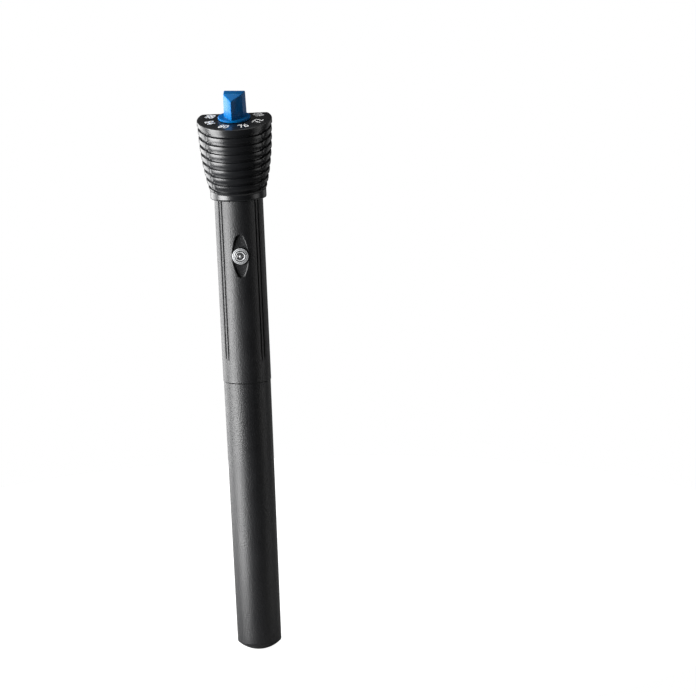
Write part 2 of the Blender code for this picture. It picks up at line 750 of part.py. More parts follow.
def knob_shaft():
    low = ROTOR_FOOT + GAP
    high = HEAD_HEIGHT + KNOB_SOCKET_DEPTH - GAP
    shaft = disc(
        "knob_shaft",
        SHAFT_RADIUS,
        low - HEAD_HEIGHT,
        high - HEAD_HEIGHT,
        STEEL,
        COARSE,
        parent=KNOB,
    )
    flat_height = KNOB_SOCKET_DEPTH + GAP
    flat = box(
        "shaft_flat",
        (SHAFT_RADIUS * 4, SHAFT_FLAT * 2, flat_height * 2),
        (0.0, SHAFT_RADIUS, flat_height),
        parent=KNOB,
    )
    cut(shaft, flat)
    clip_low = CLIP_TOP - CLIP_THICKNESS - HEAD_HEIGHT
    clip_inner = SHAFT_RADIUS + GAP / 2
    clip = ring(
        "shaft_clip",
        clip_inner + CLIP_WIDTH,
        clip_inner,
        clip_low,
        clip_low + CLIP_THICKNESS,
        STEEL,
        COARSE,
        parent=KNOB,
    )
    mouth = (SHAFT_RADIUS, CLIP_MOUTH_REACH, CLIP_MOUTH_HEIGHT)
    cut(clip, box("clip_mouth", mouth, (0.0, -CLIP_MOUTH_REACH / 2, clip_low), parent=KNOB))


def shaft_seals():
    bore = SHAFT_RADIUS + GAP
    profile = [
        (BUSH_RADIUS, HEAD_HEIGHT - GAP),
        (BUSH_RADIUS, DIAL_UNDERSIDE - GAP),
        (BUSH_FLANGE_RADIUS, DIAL_UNDERSIDE - GAP),
        (BUSH_FLANGE_RADIUS, BUSH_FOOT),
        (bore, BUSH_FOOT),
        (bore, HEAD_HEIGHT - GAP),
    ]
    turned("shaft_bush", profile, BRASS, closed=True, parent=HEAD)
    centre = bore + SHAFT_SEAL_SECTION
    seal_ring("shaft_seal_upper", centre, SHAFT_SEAL_SECTION, UPPER_SEAL, sides=COARSE, parent=HEAD)
    seal_ring("shaft_seal_lower", centre, SHAFT_SEAL_SECTION, LOWER_SEAL, sides=COARSE, parent=HEAD)
    cup_bore = centre + SHAFT_SEAL_SECTION + GAP
    foot = RETAINER_TOP - SEAL_RETAINER_THICKNESS
    cup = [
        (BUSH_FLANGE_RADIUS, BUSH_FOOT - GAP),
        (BUSH_FLANGE_RADIUS, foot),
        (bore, foot),
        (bore, RETAINER_TOP),
        (cup_bore, RETAINER_TOP),
        (cup_bore, BUSH_FOOT - GAP),
    ]
    turned("seal_cup", cup, NYLON, closed=True, parent=HEAD)


def temperature_control():
    """The rotary control that the shaft turns, on its carrier."""
    size = (CONTROL_SIZE, CONTROL_SIZE, CONTROL_HEIGHT)
    middle = (CONTROL_TOP + CONTROL_FOOT) / 2
    body = box("control_body", size, (0, 0, middle), DARK_RESIN, bevel=RESIN_EDGE, parent=HEAD)
    pocket_foot = ROTOR_FOOT - GAP
    pocket_top = CONTROL_TOP + LOOSE
    pocket = disc("rotor_pocket", ROTOR_RADIUS + GAP, pocket_foot, pocket_top, sides=COARSE, parent=HEAD)
    cut(body, pocket)
    ring(
        "control_rotor",
        ROTOR_RADIUS,
        SHAFT_RADIUS + GAP,
        ROTOR_FOOT - HEAD_HEIGHT,
        ROTOR_TOP - HEAD_HEIGHT,
        NYLON,
        COARSE,
        parent=KNOB,
    )
    carrier_foot = CARRIER_TOP - CARRIER_THICKNESS
    carrier = disc("control_carrier", CARRIER_RADIUS, carrier_foot, CARRIER_TOP, NYLON, parent=HEAD)
    notch = (CARRIER_NOTCH, CARRIER_NOTCH, CARRIER_NOTCH)
    cut(carrier, box("carrier_wire_notch", notch, (0.0, CARRIER_RADIUS, CARRIER_TOP), parent=HEAD))
    cut(carrier, box("carrier_lead_slot", notch, (0.0, -CARRIER_RADIUS, CARRIER_TOP), parent=HEAD))


def control_wires():
    """Three thin wires from the control down to the board, through the carrier's front slot."""
    head = HEAD.matrix_basis
    for number, side in enumerate((-1, 0, 1), 1):
        x = side * CONTROL_WIRE_PITCH
        front = -CONTROL_SIZE / 2 - LOOSE - LEAD_RADIUS
        tail = [Vector((x, front - out, CONTROL_FOOT + rise)) for out, rise in CONTROL_WIRE_TAIL]
        tail.append(Vector((x, front - CONTROL_WIRE_SLOT[0], CARRIER_TOP - CONTROL_WIRE_SLOT[1])))
        points = [head @ point for point in tail]
        points += [Vector((x, -out, BOARD_HIGH + rise)) for out, rise in CONTROL_WIRE_ROUTE]
        wire(f"control_wire_{number}", points, CONTROL_WIRE_RADIUS, WIRE_WHITE)


def control_board():
    height = BOARD_HIGH - BOARD_LOW
    size = (BOARD_WIDTH, BOARD_THICKNESS, height)
    box("control_board", size, (0, BOARD_OFFSET, (BOARD_HIGH + BOARD_LOW) / 2), LAMINATE)
    low, high = BOARD_LOW + LOWER_SPACER_RISE, BARREL_TOP - UPPER_SPACER_DROP
    spacer("board_spacer_lower", low, BARREL_SEAM_RADIUS - BARREL_WALL - GAP)
    spacer("board_spacer_upper", high, BARREL_TOP_RADIUS - BARREL_WALL - GAP)


def spacer(name, height, radius):
    """A disc that centres the board in the barrel, slotted for it, with flats for the wires."""
    pad = disc(name, radius, height, height + SPACER_THICKNESS, SILICONE)
    slot = (BOARD_WIDTH + 2 * GAP, BOARD_THICKNESS + 2 * GAP, SPACER_THICKNESS * 3)
    cut(pad, box(f"{name}_slot", slot, (0, BOARD_OFFSET, height)))
    notch = (SPACER_NOTCH, 2 * (radius - SPACER_NOTCH_REACH), SPACER_THICKNESS * 3)
    cut(pad, box(f"{name}_notch", notch, (0, -radius, height)))


def seat_front(size, x, height):
    """Where a component sits, on the front of the board."""
    return (x, BOARD_FRONT - GAP - size[1] / 2, height)


def board_components():
    block_height = BARREL_TOP + TERMINAL_RISE
    block_middle = BOARD_BACK + GAP + TERMINAL_BLOCK_SIZE[1] / 2
    block = box("terminal_block", TERMINAL_BLOCK_SIZE, (0, block_middle, block_height), NYLON)
    for side, word in ((-1, "left"), (1, "right")):
        x = side * TERMINAL_PITCH / 2
        top = block_height + TERMINAL_BLOCK_SIZE[2] / 2
        foot = top - GAP - TERMINAL_SCREW_LENGTH
        hole_radius = TERMINAL_SCREW_RADIUS + GAP
        hole = disc(f"terminal_hole_{word}", hole_radius, foot - GAP, top + GAP, sides=COARSE)
        hole.location = (x, block_middle, 0)
        cut(block, hole)
        screw = disc(
            f"terminal_screw_{word}",
            TERMINAL_SCREW_RADIUS,
            foot,
            top - GAP,
            BRASS,
            COARSE,
            location=(x, block_middle, 0),
        )
        slot = (TERMINAL_SCREW_RADIUS * 3, TERMINAL_SCREW_RADIUS * 0.4, TERMINAL_SCREW_RADIUS)
        cut(screw, box(f"screw_slot_{word}", slot, (x, block_middle, top)))
    triac_height = BOARD_LOW + TRIAC_RISE
    box(
        "heat_spreader",
        SPREADER_SIZE,
        seat_front(SPREADER_SIZE, 0.0, triac_height),
        ALUMINIUM,
        bevel=SPREADER_EDGE,
    )
    spreader_front = BOARD_FRONT - GAP - SPREADER_SIZE[1]
    box(
        "triac",
        TRIAC_SIZE,
        (0.0, spreader_front - GAP - TRIAC_SIZE[1] / 2, triac_height),
        DARK_RESIN,
        bevel=RESIN_EDGE,
    )
    box(
        "film_capacitor",
        FILM_CAPACITOR_SIZE,
        seat_front(FILM_CAPACITOR_SIZE, 0.0, triac_height + FILM_CAPACITOR_RISE),
        FILM_BOX,
        bevel=FILM_CAPACITOR_EDGE,
    )
    electrolytic_low = BOARD_LOW + ELECTROLYTIC_RISE
    disc(
        "electrolytic_capacitor",
        ELECTROLYTIC_RADIUS,
        electrolytic_low,
        electrolytic_low + ELECTROLYTIC_LENGTH,
        CAN_SLEEVE,
        COARSE,
        location=(0, BOARD_BACK + GAP + ELECTROLYTIC_RADIUS, 0),
    )
    resistor_low = WINDOW_HEIGHT_ABOVE_TIP + RESISTOR_RISE
    disc(
        "dropper_resistor",
        RESISTOR_RADIUS,
        resistor_low,
        resistor_low + RESISTOR_LENGTH,
        RESISTOR_COAT,
        COARSE,
        location=(RESISTOR_SIDE, BOARD_FRONT - GAP - RESISTOR_RADIUS, 0),
    )
    chip_height = WINDOW_HEIGHT_ABOVE_TIP + CHIP_RISE
    box("control_chip", CHIP_SIZE, seat_front(CHIP_SIZE, -CHIP_SIDE, chip_height), DARK_RESIN)


def thermistor():
    """The sensor bead near the barrel's wall, on its two-core lead."""
    bead = Vector((-THERMISTOR_SIDE, -THERMISTOR_REACH, BOARD_LOW + THERMISTOR_RISE))
    half = THERMISTOR_LENGTH / 2
    disc("thermistor", THERMISTOR_RADIUS, -half, half, DARK_RESIN, 12, location=bead)
    points = [bead + Vector((0, 0, rise)) for rise in (half + GAP, THERMISTOR_STRAIGHT)]
    points += [Vector((bead.x, -out, BOARD_LOW + rise)) for out, rise in THERMISTOR_ROUTE]
    points.append(Vector((bead.x, BOARD_FRONT - GAP, BOARD_LOW + THERMISTOR_END_RISE)))
    wire("thermistor_lead", points, THERMISTOR_LEAD_RADIUS, WIRE_WHITE)


def indicator():
    """The lens in the window, its gasket and the two-colour light behind it."""
    place = {"location": (0, 0, WINDOW_HEIGHT_ABOVE_TIP), "rotation": UP_TO_FRONT}
    ledge = WINDOW_FLOOR - GASKET_THICKNESS
    ring("lens_gasket", LENS_RADIUS, LENS_STEM_RADIUS + GAP, ledge, WINDOW_FLOOR, RUBBER, COARSE, **place)
    seat = WINDOW_FLOOR + GAP
    face = seat + LENS_THICKNESS
    stem_end = BARREL_TOP_RADIUS - BARREL_WALL - WINDOW_BOSS_DEPTH + LOOSE
    profile = [(LENS_RADIUS * out, face + LENS_CROWN * rise) for out, rise in LENS_CROWN_SHAPE]
    profile += [
        (LENS_RADIUS, face),
        (LENS_RADIUS, seat),
        (LENS_STEM_RADIUS, seat),
        (LENS_STEM_RADIUS, stem_end),
        (0.0, stem_end),
    ]
    turned("led_lens", profile, CLEAR, **place)
    tip = stem_end - LOOSE
    base = tip - LED_LENGTH
    led = [(LED_RADIUS * out, tip - LED_RADIUS * drop) for out, drop in LED_DOME_SHAPE]
    led += [
        (LED_RADIUS, base + LED_FLANGE),
        (LED_RADIUS + LED_FLANGE_RIM, base + LED_FLANGE),
        (LED_RADIUS + LED_FLANGE_RIM, base),
        (0.0, base),
    ]
    turned("indicator_led", led, CLEAR, COARSE, **place)
    ring("led_spacer", LED_RADIUS, 0.0012, -BOARD_FRONT + GAP, base - GAP, NYLON, COARSE, **place)


def coupling():
    """The sleeve inside the seam, with a seal ring on each side, and the barrier disc in it."""
    tube_side = TUBE_TOP_RADIUS - TUBE_WALL - GAP
    tube_side -= (TUBE_TOP_RADIUS - TUBE_RIM_RADIUS) * COUPLING_REACH / (TUBE_LENGTH - DOME_HEIGHT)
    barrel_side = BARREL_SEAM_RADIUS - BARREL_WALL - GAP
    section = COUPLING_SEAL_SECTION
    half_groove = section + SEAL_GROOVE_MARGIN
    seal_low, seal_high = SEAM - COUPLING_REACH / 2, SEAM + COUPLING_REACH / 2
    low_centre = tube_side - section
    high_centre = barrel_side - section
    profile = [
        (barrel_side, SEAM + COUPLING_REACH),
        (barrel_side, seal_high + half_groove),
        (high_centre - half_groove, seal_high + half_groove),
        (high_centre - half_groove, seal_high - half_groove),
        (barrel_side, seal_high - half_groove),
        (barrel_side, SEAM + GAP),
        (tube_side, SEAM + GAP),
        (tube_side, seal_low + half_groove),
        (low_centre - half_groove, seal_low + half_groove),
        (low_centre - half_groove, seal_low - half_groove),
        (tube_side, seal_low - half_groove),
        (tube_side, SEAM - COUPLING_REACH),
        (COUPLING_BORE, SEAM - COUPLING_REACH),
        (COUPLING_BORE, SEAM + COUPLING_REACH),
    ]
    turned("coupling_sleeve", profile, PLASTIC_BLACK, closed=True)
    seal_ring("tube_seal_ring", low_centre, section, seal_low)
    seal_ring("barrel_seal_ring", high_centre, section, seal_high)
    barrier_low = SEAM + COUPLING_REACH / 2
    barrier = disc("heat_barrier", COUPLING_BORE - GAP, barrier_low, barrier_low + BARRIER_THICKNESS, MICA)
    for side, word in ((-1, "left"), (1, "right")):
        low, high = barrier_low - GAP, barrier_low + BARRIER_THICKNESS + GAP
        hole = disc(f"barrier_hole_{word}", LEAD_RADIUS + GAP, low, high, sides=12)
        hole.location.x = side * LEAD_SPACING
        cut(barrier, hole)


def element_leads():
    """Live and neutral from the board to the element, with the thermal cutoff in the live one."""
    board_end = BOARD_LOW - GAP
    cutoff_high = SEAM + COUPLING_REACH / 2 - LOOSE
    cutoff_low = cutoff_high - CUTOFF_LENGTH
    core_end = CORE_TOP + INSULATOR_THICKNESS / 2 + GAP
    x = LEAD_SPACING
    place = (-x, 0, 0)
    disc("thermal_cutoff", CUTOFF_RADIUS, cutoff_low, cutoff_high, CERAMIC, COARSE, location=place)
    wire("live_lead", [(-x, 0, cutoff_high + GAP), (-x, 0, board_end)], LEAD_RADIUS, WIRE_RED)
    wire("cutoff_lead", [(-x, 0, core_end + GAP), (-x, 0, cutoff_low - GAP)], LEAD_RADIUS, WIRE_RED)
    wire("neutral_lead", [(x, 0, core_end + GAP), (x, 0, board_end)], LEAD_RADIUS, WIRE_WHITE)


def heating_element():
    """A ceramic core wound with heating wire, between two insulators, in a mica sleeve."""
    disc("ceramic_core", CORE_RADIUS, CORE_FLOOR, CORE_TOP, CERAMIC)
    coil_radius = CORE_RADIUS + GAP + COIL_WIRE_RADIUS
    low, high = CORE_FLOOR + COIL_MARGIN, CORE_TOP - COIL_MARGIN
    count = COIL_TURNS * COIL_STEPS
    points = []
    for step in range(count + 1):
        angle = 2.0 * math.pi * step / COIL_STEPS
        height = low + (high - low) * step / count
        points.append((coil_radius * math.cos(angle), coil_radius * math.sin(angle), height))
    wire("heating_coil", points, COIL_WIRE_RADIUS, NICHROME)
    sleeve_bore = coil_radius + COIL_WIRE_RADIUS + LOOSE
    insulator_low = CORE_FLOOR - INSULATOR_THICKNESS / 2
    insulator_high = CORE_TOP - INSULATOR_THICKNESS / 2
    sleeve_low = insulator_low + INSULATOR_THICKNESS + GAP
    ring("mica_sleeve", sleeve_bore + SLEEVE_WALL, sleeve_bore, sleeve_low, insulator_high - GAP, MICA)
    for name, foot in (("core_insulator_top", insulator_high), ("core_insulator_bottom", insulator_low)):
        radius = tube_radius(foot) - TUBE_WALL - GAP
        ring(name, radius, CORE_RADIUS + GAP, foot, foot + INSULATOR_THICKNESS, CERAMIC)
    cushion_high = insulator_low - GAP
    cushion_low = cushion_high - CUSHION_THICKNESS
    cushion_radius = TUBE_RIM_RADIUS - TUBE_WALL - LOOSE
    profile = [
        (0.0, cushion_high),
        (cushion_radius, cushion_high),
        (cushion_radius, cushion_low + CUSHION_THICKNESS / 2),
        (cushion_radius * 0.7, cushion_low),
        (0.0, cushion_low),
    ]
    turned("bottom_cushion", profile, SILICONE)


def head_seal():
    height = BARREL_TOP + SPIGOT_HEIGHT * 0.5
    seal_ring("head_seal_ring", head_seal_radius(), HEAD_SEAL_SECTION, height, sides=FINE)


lower_tube()
heating_element()
element_leads()
coupling()
upper_barrel()
indicator()
control_board()
board_components()
thermistor()
head_seal()
head_shell()
cord_gland()
temperature_control()
control_wires()
shaft_seals()
knob_shaft()
temperature_knob()
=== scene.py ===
"""Looks of the submersible aquarium heater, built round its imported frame."""

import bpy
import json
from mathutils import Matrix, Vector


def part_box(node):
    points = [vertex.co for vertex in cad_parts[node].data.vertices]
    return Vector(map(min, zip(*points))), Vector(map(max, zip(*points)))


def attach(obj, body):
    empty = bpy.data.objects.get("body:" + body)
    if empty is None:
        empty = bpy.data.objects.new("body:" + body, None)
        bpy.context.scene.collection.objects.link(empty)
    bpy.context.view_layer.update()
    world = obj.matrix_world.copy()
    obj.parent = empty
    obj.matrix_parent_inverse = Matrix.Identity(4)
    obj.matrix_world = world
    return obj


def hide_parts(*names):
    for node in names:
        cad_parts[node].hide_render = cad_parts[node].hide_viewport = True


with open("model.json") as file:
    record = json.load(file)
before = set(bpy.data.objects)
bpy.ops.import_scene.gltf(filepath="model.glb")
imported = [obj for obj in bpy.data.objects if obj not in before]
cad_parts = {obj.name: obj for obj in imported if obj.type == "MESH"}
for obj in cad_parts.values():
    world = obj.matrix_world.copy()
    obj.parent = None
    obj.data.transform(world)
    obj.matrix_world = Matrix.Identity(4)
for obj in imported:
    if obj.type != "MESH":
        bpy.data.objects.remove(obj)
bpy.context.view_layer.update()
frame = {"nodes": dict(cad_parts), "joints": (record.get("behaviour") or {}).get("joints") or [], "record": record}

import json
import logging
import math
from dataclasses import dataclass, field
from enum import Enum
from typing import Callable, Iterable, Sequence

import bmesh
import bpy
from mathutils import Matrix, Vector

LOG = logging.getLogger("heater")
MM = 0.001
Profile = list[tuple[float, float]]
Ring = list[Vector]
RadiusRule = Callable[[float, float], float]
WELD = 0.0015 * MM


class Body(Enum):
    """The bodies of the frame that pieces ride on."""

    HOUSING = "housing"
    KNOB = "knob"


class Cut(Enum):
    """What a Boolean does to its piece."""

    ADD = "UNION"
    REMOVE = "DIFFERENCE"


# ---------------------------------------------------------------------------------------------
# Where things are: read from the frame.
# ---------------------------------------------------------------------------------------------


def knob_joint() -> dict:
    """The joint that the knob turns on."""
    return next(joint for joint in frame["joints"] if joint["child"] == Body.KNOB.value)


@dataclass(frozen=True)
class Layout:
    """Heights along the tube and the head's leaning axis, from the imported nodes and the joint."""

    tube_top: float
    barrel_low: float
    collar_low: float
    dial_centre: Vector
    dial_normal: Vector
    lens_centre: Vector
    gland_centre: Vector

    @staticmethod
    def from_frame() -> "Layout":
        """Reads the layout.

        Returns:
            The places that every visual piece is set out from.
        """
        joint = knob_joint()
        lens_low, lens_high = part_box("led_lens")
        gland_low, gland_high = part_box("gland_cap")
        return Layout(
            tube_top=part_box("lower_tube")[1].z,
            barrel_low=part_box("upper_barrel")[0].z,
            collar_low=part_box("head_shell")[0].z,
            dial_centre=Vector(joint["pos_m"]),
            dial_normal=Vector(joint["axis"]).normalized(),
            lens_centre=(lens_low + lens_high) / 2,
            gland_centre=(gland_low + gland_high) / 2,
        )

    @property
    def head(self) -> Matrix:
        """The dial's frame: its centre, +Z out of its face and -Y to the front."""
        lean = math.atan2(-self.dial_normal.y, self.dial_normal.z)
        return Matrix.Translation(self.dial_centre) @ Matrix.Rotation(lean, 4, "X")


# ---------------------------------------------------------------------------------------------
# Mesh tools.
# ---------------------------------------------------------------------------------------------


def smoothstep(low: float, high: float, value: float) -> float:
    """Rises smoothly from 0 at low to 1 at high."""
    share = min(max((value - low) / (high - low), 0.0), 1.0)
    return share * share * (3.0 - 2.0 * share)


def soft_min(first: float, second: float, blend: float) -> float:
    """The smaller of two lengths, rounded over the blend where they meet."""
    share = min(max(0.5 + 0.5 * (second - first) / blend, 0.0), 1.0)
    return second + (first - second) * share - blend * share * (1.0 - share)


def fillet(profile: Sequence[tuple[float, ...]], steps: int = 4) -> Profile:
    """Rounds a profile's corners.

    Args:
        profile: points (radius, height, fillet), where the fillet may be left out.
        steps: how many stretches each rounded corner has.

    Returns:
        The profile's points with an arc in place of each corner that has a fillet.
    """
    rounded: Profile = []
    count = len(profile)
    for number, point in enumerate(profile):
        here = Vector(point[:2])
        radius = point[2] if len(point) > 2 else 0.0
        if radius <= 0.0:
            rounded.append((here.x, here.y))
            continue
        before = (Vector(profile[number - 1][:2]) - here).normalized()
        after = (Vector(profile[(number + 1) % count][:2]) - here).normalized()
        half = before.angle(after) / 2
        reach = radius / math.tan(half)
        start, end = here + before * reach, here + after * reach
        centre = here + (before + after).normalized() * (radius / math.sin(half))
        for step in range(steps + 1):
            share = step / steps
            chord = start.lerp(end, share) - centre
            point_on = centre + chord.normalized() * radius
            rounded.append((point_on.x, point_on.y))
    return rounded


def circle_angles(count: int) -> list[float]:
    """Evenly spaced angles round a circle, from the front."""
    return [2.0 * math.pi * step / count for step in range(count)]


def turned_rings(profile: Profile, count: int) -> list[Ring]:
    """The rings of a turned shape about Z, from the profile's (radius, height) points."""
    angles = circle_angles(count)
    return [[Vector((r * math.sin(a), -r * math.cos(a), z)) for a in angles] for r, z in profile]


def lattice(name: str, rings: list[Ring], loop: bool = False) -> bpy.types.Object:
    """Joins rings of points into one closed surface.

    Args:
        name: the piece's name.
        rings: rings with the same number of points. A ring of zero size closes to one point.
        loop: whether the last ring joins the first, as round a hollow piece.

    Returns:
        The piece's object, shaded smooth.
    """
    mesh = bpy.data.meshes.new(name)
    shape = bmesh.new()
    rows = [[shape.verts.new(point) for point in ring] for ring in rings]
    pairs = list(zip(rows, rows[1:])) + ([(rows[-1], rows[0])] if loop else [])
    for upper, lower in pairs:
        for column in range(len(upper)):
            after = (column + 1) % len(upper)
            shape.faces.new((upper[column], lower[column], lower[after], upper[after]))
    bmesh.ops.remove_doubles(shape, verts=shape.verts, dist=WELD)
    bmesh.ops.dissolve_degenerate(shape, edges=shape.edges, dist=WELD)
    bmesh.ops.recalc_face_normals(shape, faces=shape.faces)
    shape.to_mesh(mesh)
    shape.free()
    return add_piece(name, mesh)


def add_piece(name: str, mesh: bpy.types.Mesh, crease: float = 35.0) -> bpy.types.Object:
    """Puts a mesh in the scene as a piece.

    Args:
        name: the piece's name.
        mesh: its mesh, in place.
        crease: the angle in degrees above which an edge stays sharp.

    Returns:
        The piece's object.
    """
    mesh.shade_smooth()
    mesh.set_sharp_from_angle(angle=math.radians(crease))
    piece = bpy.data.objects.new(name, mesh)
    bpy.context.scene.collection.objects.link(piece)
    return piece


def turned(name: str, profile: Profile, count: int = 96, loop: bool = True) -> bpy.types.Object:
    """A turned piece about Z."""
    return lattice(name, turned_rings(profile, count), loop)


def prism(name: str, outline: Profile, low: float, high: float) -> bpy.types.Object:
    """Raises a flat outline.

    Args:
        name: the piece's name.
        outline: the outline's points in X and Y.
        low: the height of its lower face.
        high: the height of its upper face.

    Returns:
        The piece's object.
    """
    mesh = bpy.data.meshes.new(name)
    shape = bmesh.new()
    face = shape.faces.new([shape.verts.new((x, y, low)) for x, y in outline])
    raised = bmesh.ops.extrude_face_region(shape, geom=[face])
    top = [part for part in raised["geom"] if isinstance(part, bmesh.types.BMVert)]
    bmesh.ops.translate(shape, vec=(0.0, 0.0, high - low), verts=top)
    bmesh.ops.recalc_face_normals(shape, faces=shape.faces)
    shape.to_mesh(mesh)
    shape.free()
    return add_piece(name, mesh)


def move(piece: bpy.types.Object, matrix: Matrix) -> bpy.types.Object:
    """Moves a piece's own points, so that its object stays at the origin."""
    piece.data.transform(matrix)
    return piece


def apply_modifiers(piece: bpy.types.Object, crease: float = 35.0) -> None:
    """Makes a piece's modifiers part of its mesh.

    Args:
        piece: the piece.
        crease: the angle in degrees above which an edge stays sharp.
    """
    graph = bpy.context.evaluated_depsgraph_get()
    mesh = bpy.data.meshes.new_from_object(piece.evaluated_get(graph))
    piece.modifiers.clear()
    old = piece.data
    piece.data = mesh
    bpy.data.meshes.remove(old)
    mesh.shade_smooth()
    mesh.set_sharp_from_angle(angle=math.radians(crease))


def combine(piece: bpy.types.Object, tool: bpy.types.Object, how: Cut, crease: float = 35.0) -> None:
    """Adds a tool shape to a piece or cuts it out, and removes the tool.

    Args:
        piece: the piece.
        tool: the shape that is added or cut out.
        how: which of the two.
        crease: the angle in degrees above which an edge stays sharp.
    """
    modifier = piece.modifiers.new("shape", "BOOLEAN")
    modifier.operation = how.value
    modifier.solver = "EXACT"
    modifier.object = tool
    bpy.context.view_layer.update()
    apply_modifiers(piece, crease)
    bpy.data.objects.remove(tool, do_unlink=True)


def round_edges(piece: bpy.types.Object, width: float, segments: int = 2, angle: float = 30.0) -> None:
    """Rounds a piece's sharp edges with a modifier.

    Args:
        piece: the piece.
        width: the width of the rounding.
        segments: how many facets it has.
        angle: the angle in degrees above which an edge is rounded.
    """
    bevel = piece.modifiers.new("edges", "BEVEL")
    bevel.width = width
    bevel.segments = segments
    bevel.limit_method = "ANGLE"
    bevel.angle_limit = math.radians(angle)
    bevel.harden_normals = False


def settle(piece: bpy.types.Object, body: Body, slot: str, *nodes: str) -> bpy.types.Object:
    """Hands a finished piece to the frame.

    Args:
        piece: the piece, in place.
        body: the body it rides on.
        slot: the record's material slot; not used.
        nodes: the CAD nodes that it stands for.

    Returns:
        The same piece.
    """
    if nodes:
        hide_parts(*nodes)
    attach(piece, body.value)
    LOG.info("%s rides on %s", piece.name, body.value)
    return piece


# ---------------------------------------------------------------------------------------------
# Shader node groups, and the finishes that use them.
# ---------------------------------------------------------------------------------------------


@dataclass
class Graph:
    """A small helper that adds and links shader nodes."""

    tree: bpy.types.NodeTree

    def add(self, kind: str, **settings: object) -> bpy.types.Node:
        """Adds a node.

        Args:
            kind: the node's type.
            settings: its properties, by name.

        Returns:
            The node.
        """
        node = self.tree.nodes.new(kind)
        for name, value in settings.items():
            setattr(node, name, value)
        return node

    def link(self, source: bpy.types.NodeSocket, target: bpy.types.NodeSocket) -> None:
        """Links an output to an input."""
        self.tree.links.new(source, target)

    def math(self, operation: str, *values: object, clamp: bool = False) -> bpy.types.NodeSocket:
        """A Math node on sockets or numbers.

        Args:
            operation: the node's operation.
            values: its inputs, each a socket or a number.
            clamp: whether the result stays between 0 and 1.

        Returns:
            The node's output.
        """
        node = self.add("ShaderNodeMath", operation=operation, use_clamp=clamp)
        for socket, value in zip(node.inputs, values):
            self.feed(value, socket)
        return node.outputs[0]

    def feed(self, value: object, socket: bpy.types.NodeSocket) -> None:
        """Links or sets an input.

        Args:
            value: a socket to link from, or a number or colour to set.
            socket: the input.
        """
        if isinstance(value, bpy.types.NodeSocket):
            self.link(value, socket)
        else:
            socket.default_value = value

    def mix(self, share: object, first: object, second: object) -> bpy.types.NodeSocket:
        """Mixes two colours.

        Args:
            share: how much of the second colour there is.
            first: a colour or a socket.
            second: a colour or a socket.

        Returns:
            The mixed colour.
        """
        node = self.add("ShaderNodeMix", data_type="RGBA")
        self.feed(share, node.inputs[0])
        self.feed(first, node.inputs[6])
        self.feed(second, node.inputs[7])
        return node.outputs[2]

    def noise(self, where: object, scale: object, detail: float,
              roughness: float = 0.5) -> bpy.types.NodeSocket:
        """A noise texture.

        Args:
            where: the points that it is read at.
            scale: how many cells there are in a metre.
            detail: how many finer layers it has.
            roughness: how strong they are.

        Returns:
            The noise's value.
        """
        node = self.add("ShaderNodeTexNoise")
        self.feed(where, node.inputs["Vector"])
        self.feed(scale, node.inputs["Scale"])
        node.inputs["Detail"].default_value = detail
        node.inputs["Roughness"].default_value = roughness
        return node.outputs["Fac"]

    def ramp(self, value: object, low: float, high: float) -> bpy.types.NodeSocket:
        """Stretches a value smoothly.

        Args:
            value: the value, a socket.
            low: what becomes 0.
            high: what becomes 1.

        Returns:
            The stretched value.
        """
        node = self.add("ShaderNodeMapRange", interpolation_type="SMOOTHSTEP")
        self.feed(value, node.inputs["Value"])
        node.inputs["From Min"].default_value = low
        node.inputs["From Max"].default_value = high
        return node.outputs["Result"]


def new_group(name: str, inputs: dict[str, float], outputs: Iterable[str]) -> tuple[Graph, dict, dict]:
    """Starts a shader node group.

    Args:
        name: the group's name.
        inputs: each input's name and default number.
        outputs: the names of its value outputs.

    Returns:
        The group's graph, its input sockets and its output sockets, by name.
    """
    tree = bpy.data.node_groups.new(name, "ShaderNodeTree")
    for label, value in inputs.items():
        socket = tree.interface.new_socket(label, in_out="INPUT", socket_type="NodeSocketFloat")
        socket.default_value = value
    for label in outputs:
        tree.interface.new_socket(label, in_out="OUTPUT", socket_type="NodeSocketFloat")
    graph = Graph(tree)
    entry, leave = graph.add("NodeGroupInput"), graph.add("NodeGroupOutput")
    return graph, dict(entry.outputs.items()), dict(leave.inputs.items())


def edge_wear_and_sheen_group() -> bpy.types.NodeTree:
    """Where handling has rubbed the edges, and on the knob a painted highlight line: a broken line along every sharp
    edge.

    Returns:
        The group.
    """
    graph, given, out = new_group("EdgeWearAndSheen", {"Width": 0.0005, "Amount": 0.5, "Breaks": 500.0}, ["Mask"])
    bevel = graph.add("ShaderNodeBevel", samples=4)
    graph.link(given["Width"], bevel.inputs["Radius"])
    surface = graph.add("ShaderNodeNewGeometry")
    turn = graph.add("ShaderNodeVectorMath", operation="DOT_PRODUCT")
    graph.link(bevel.outputs["Normal"], turn.inputs[0])
    graph.link(surface.outputs["Normal"], turn.inputs[1])
    edge = graph.ramp(graph.math("SUBTRACT", 1.0, turn.outputs["Value"]), 0.005, 0.09)
    place = graph.add("ShaderNodeTexCoord")
    breaks = graph.ramp(graph.noise(place.outputs["Object"], given["Breaks"], 3.0), 0.38, 0.62)
    graph.link(graph.math("MULTIPLY", graph.math("MULTIPLY", edge, breaks), given["Amount"]), out["Mask"])
    return graph.tree


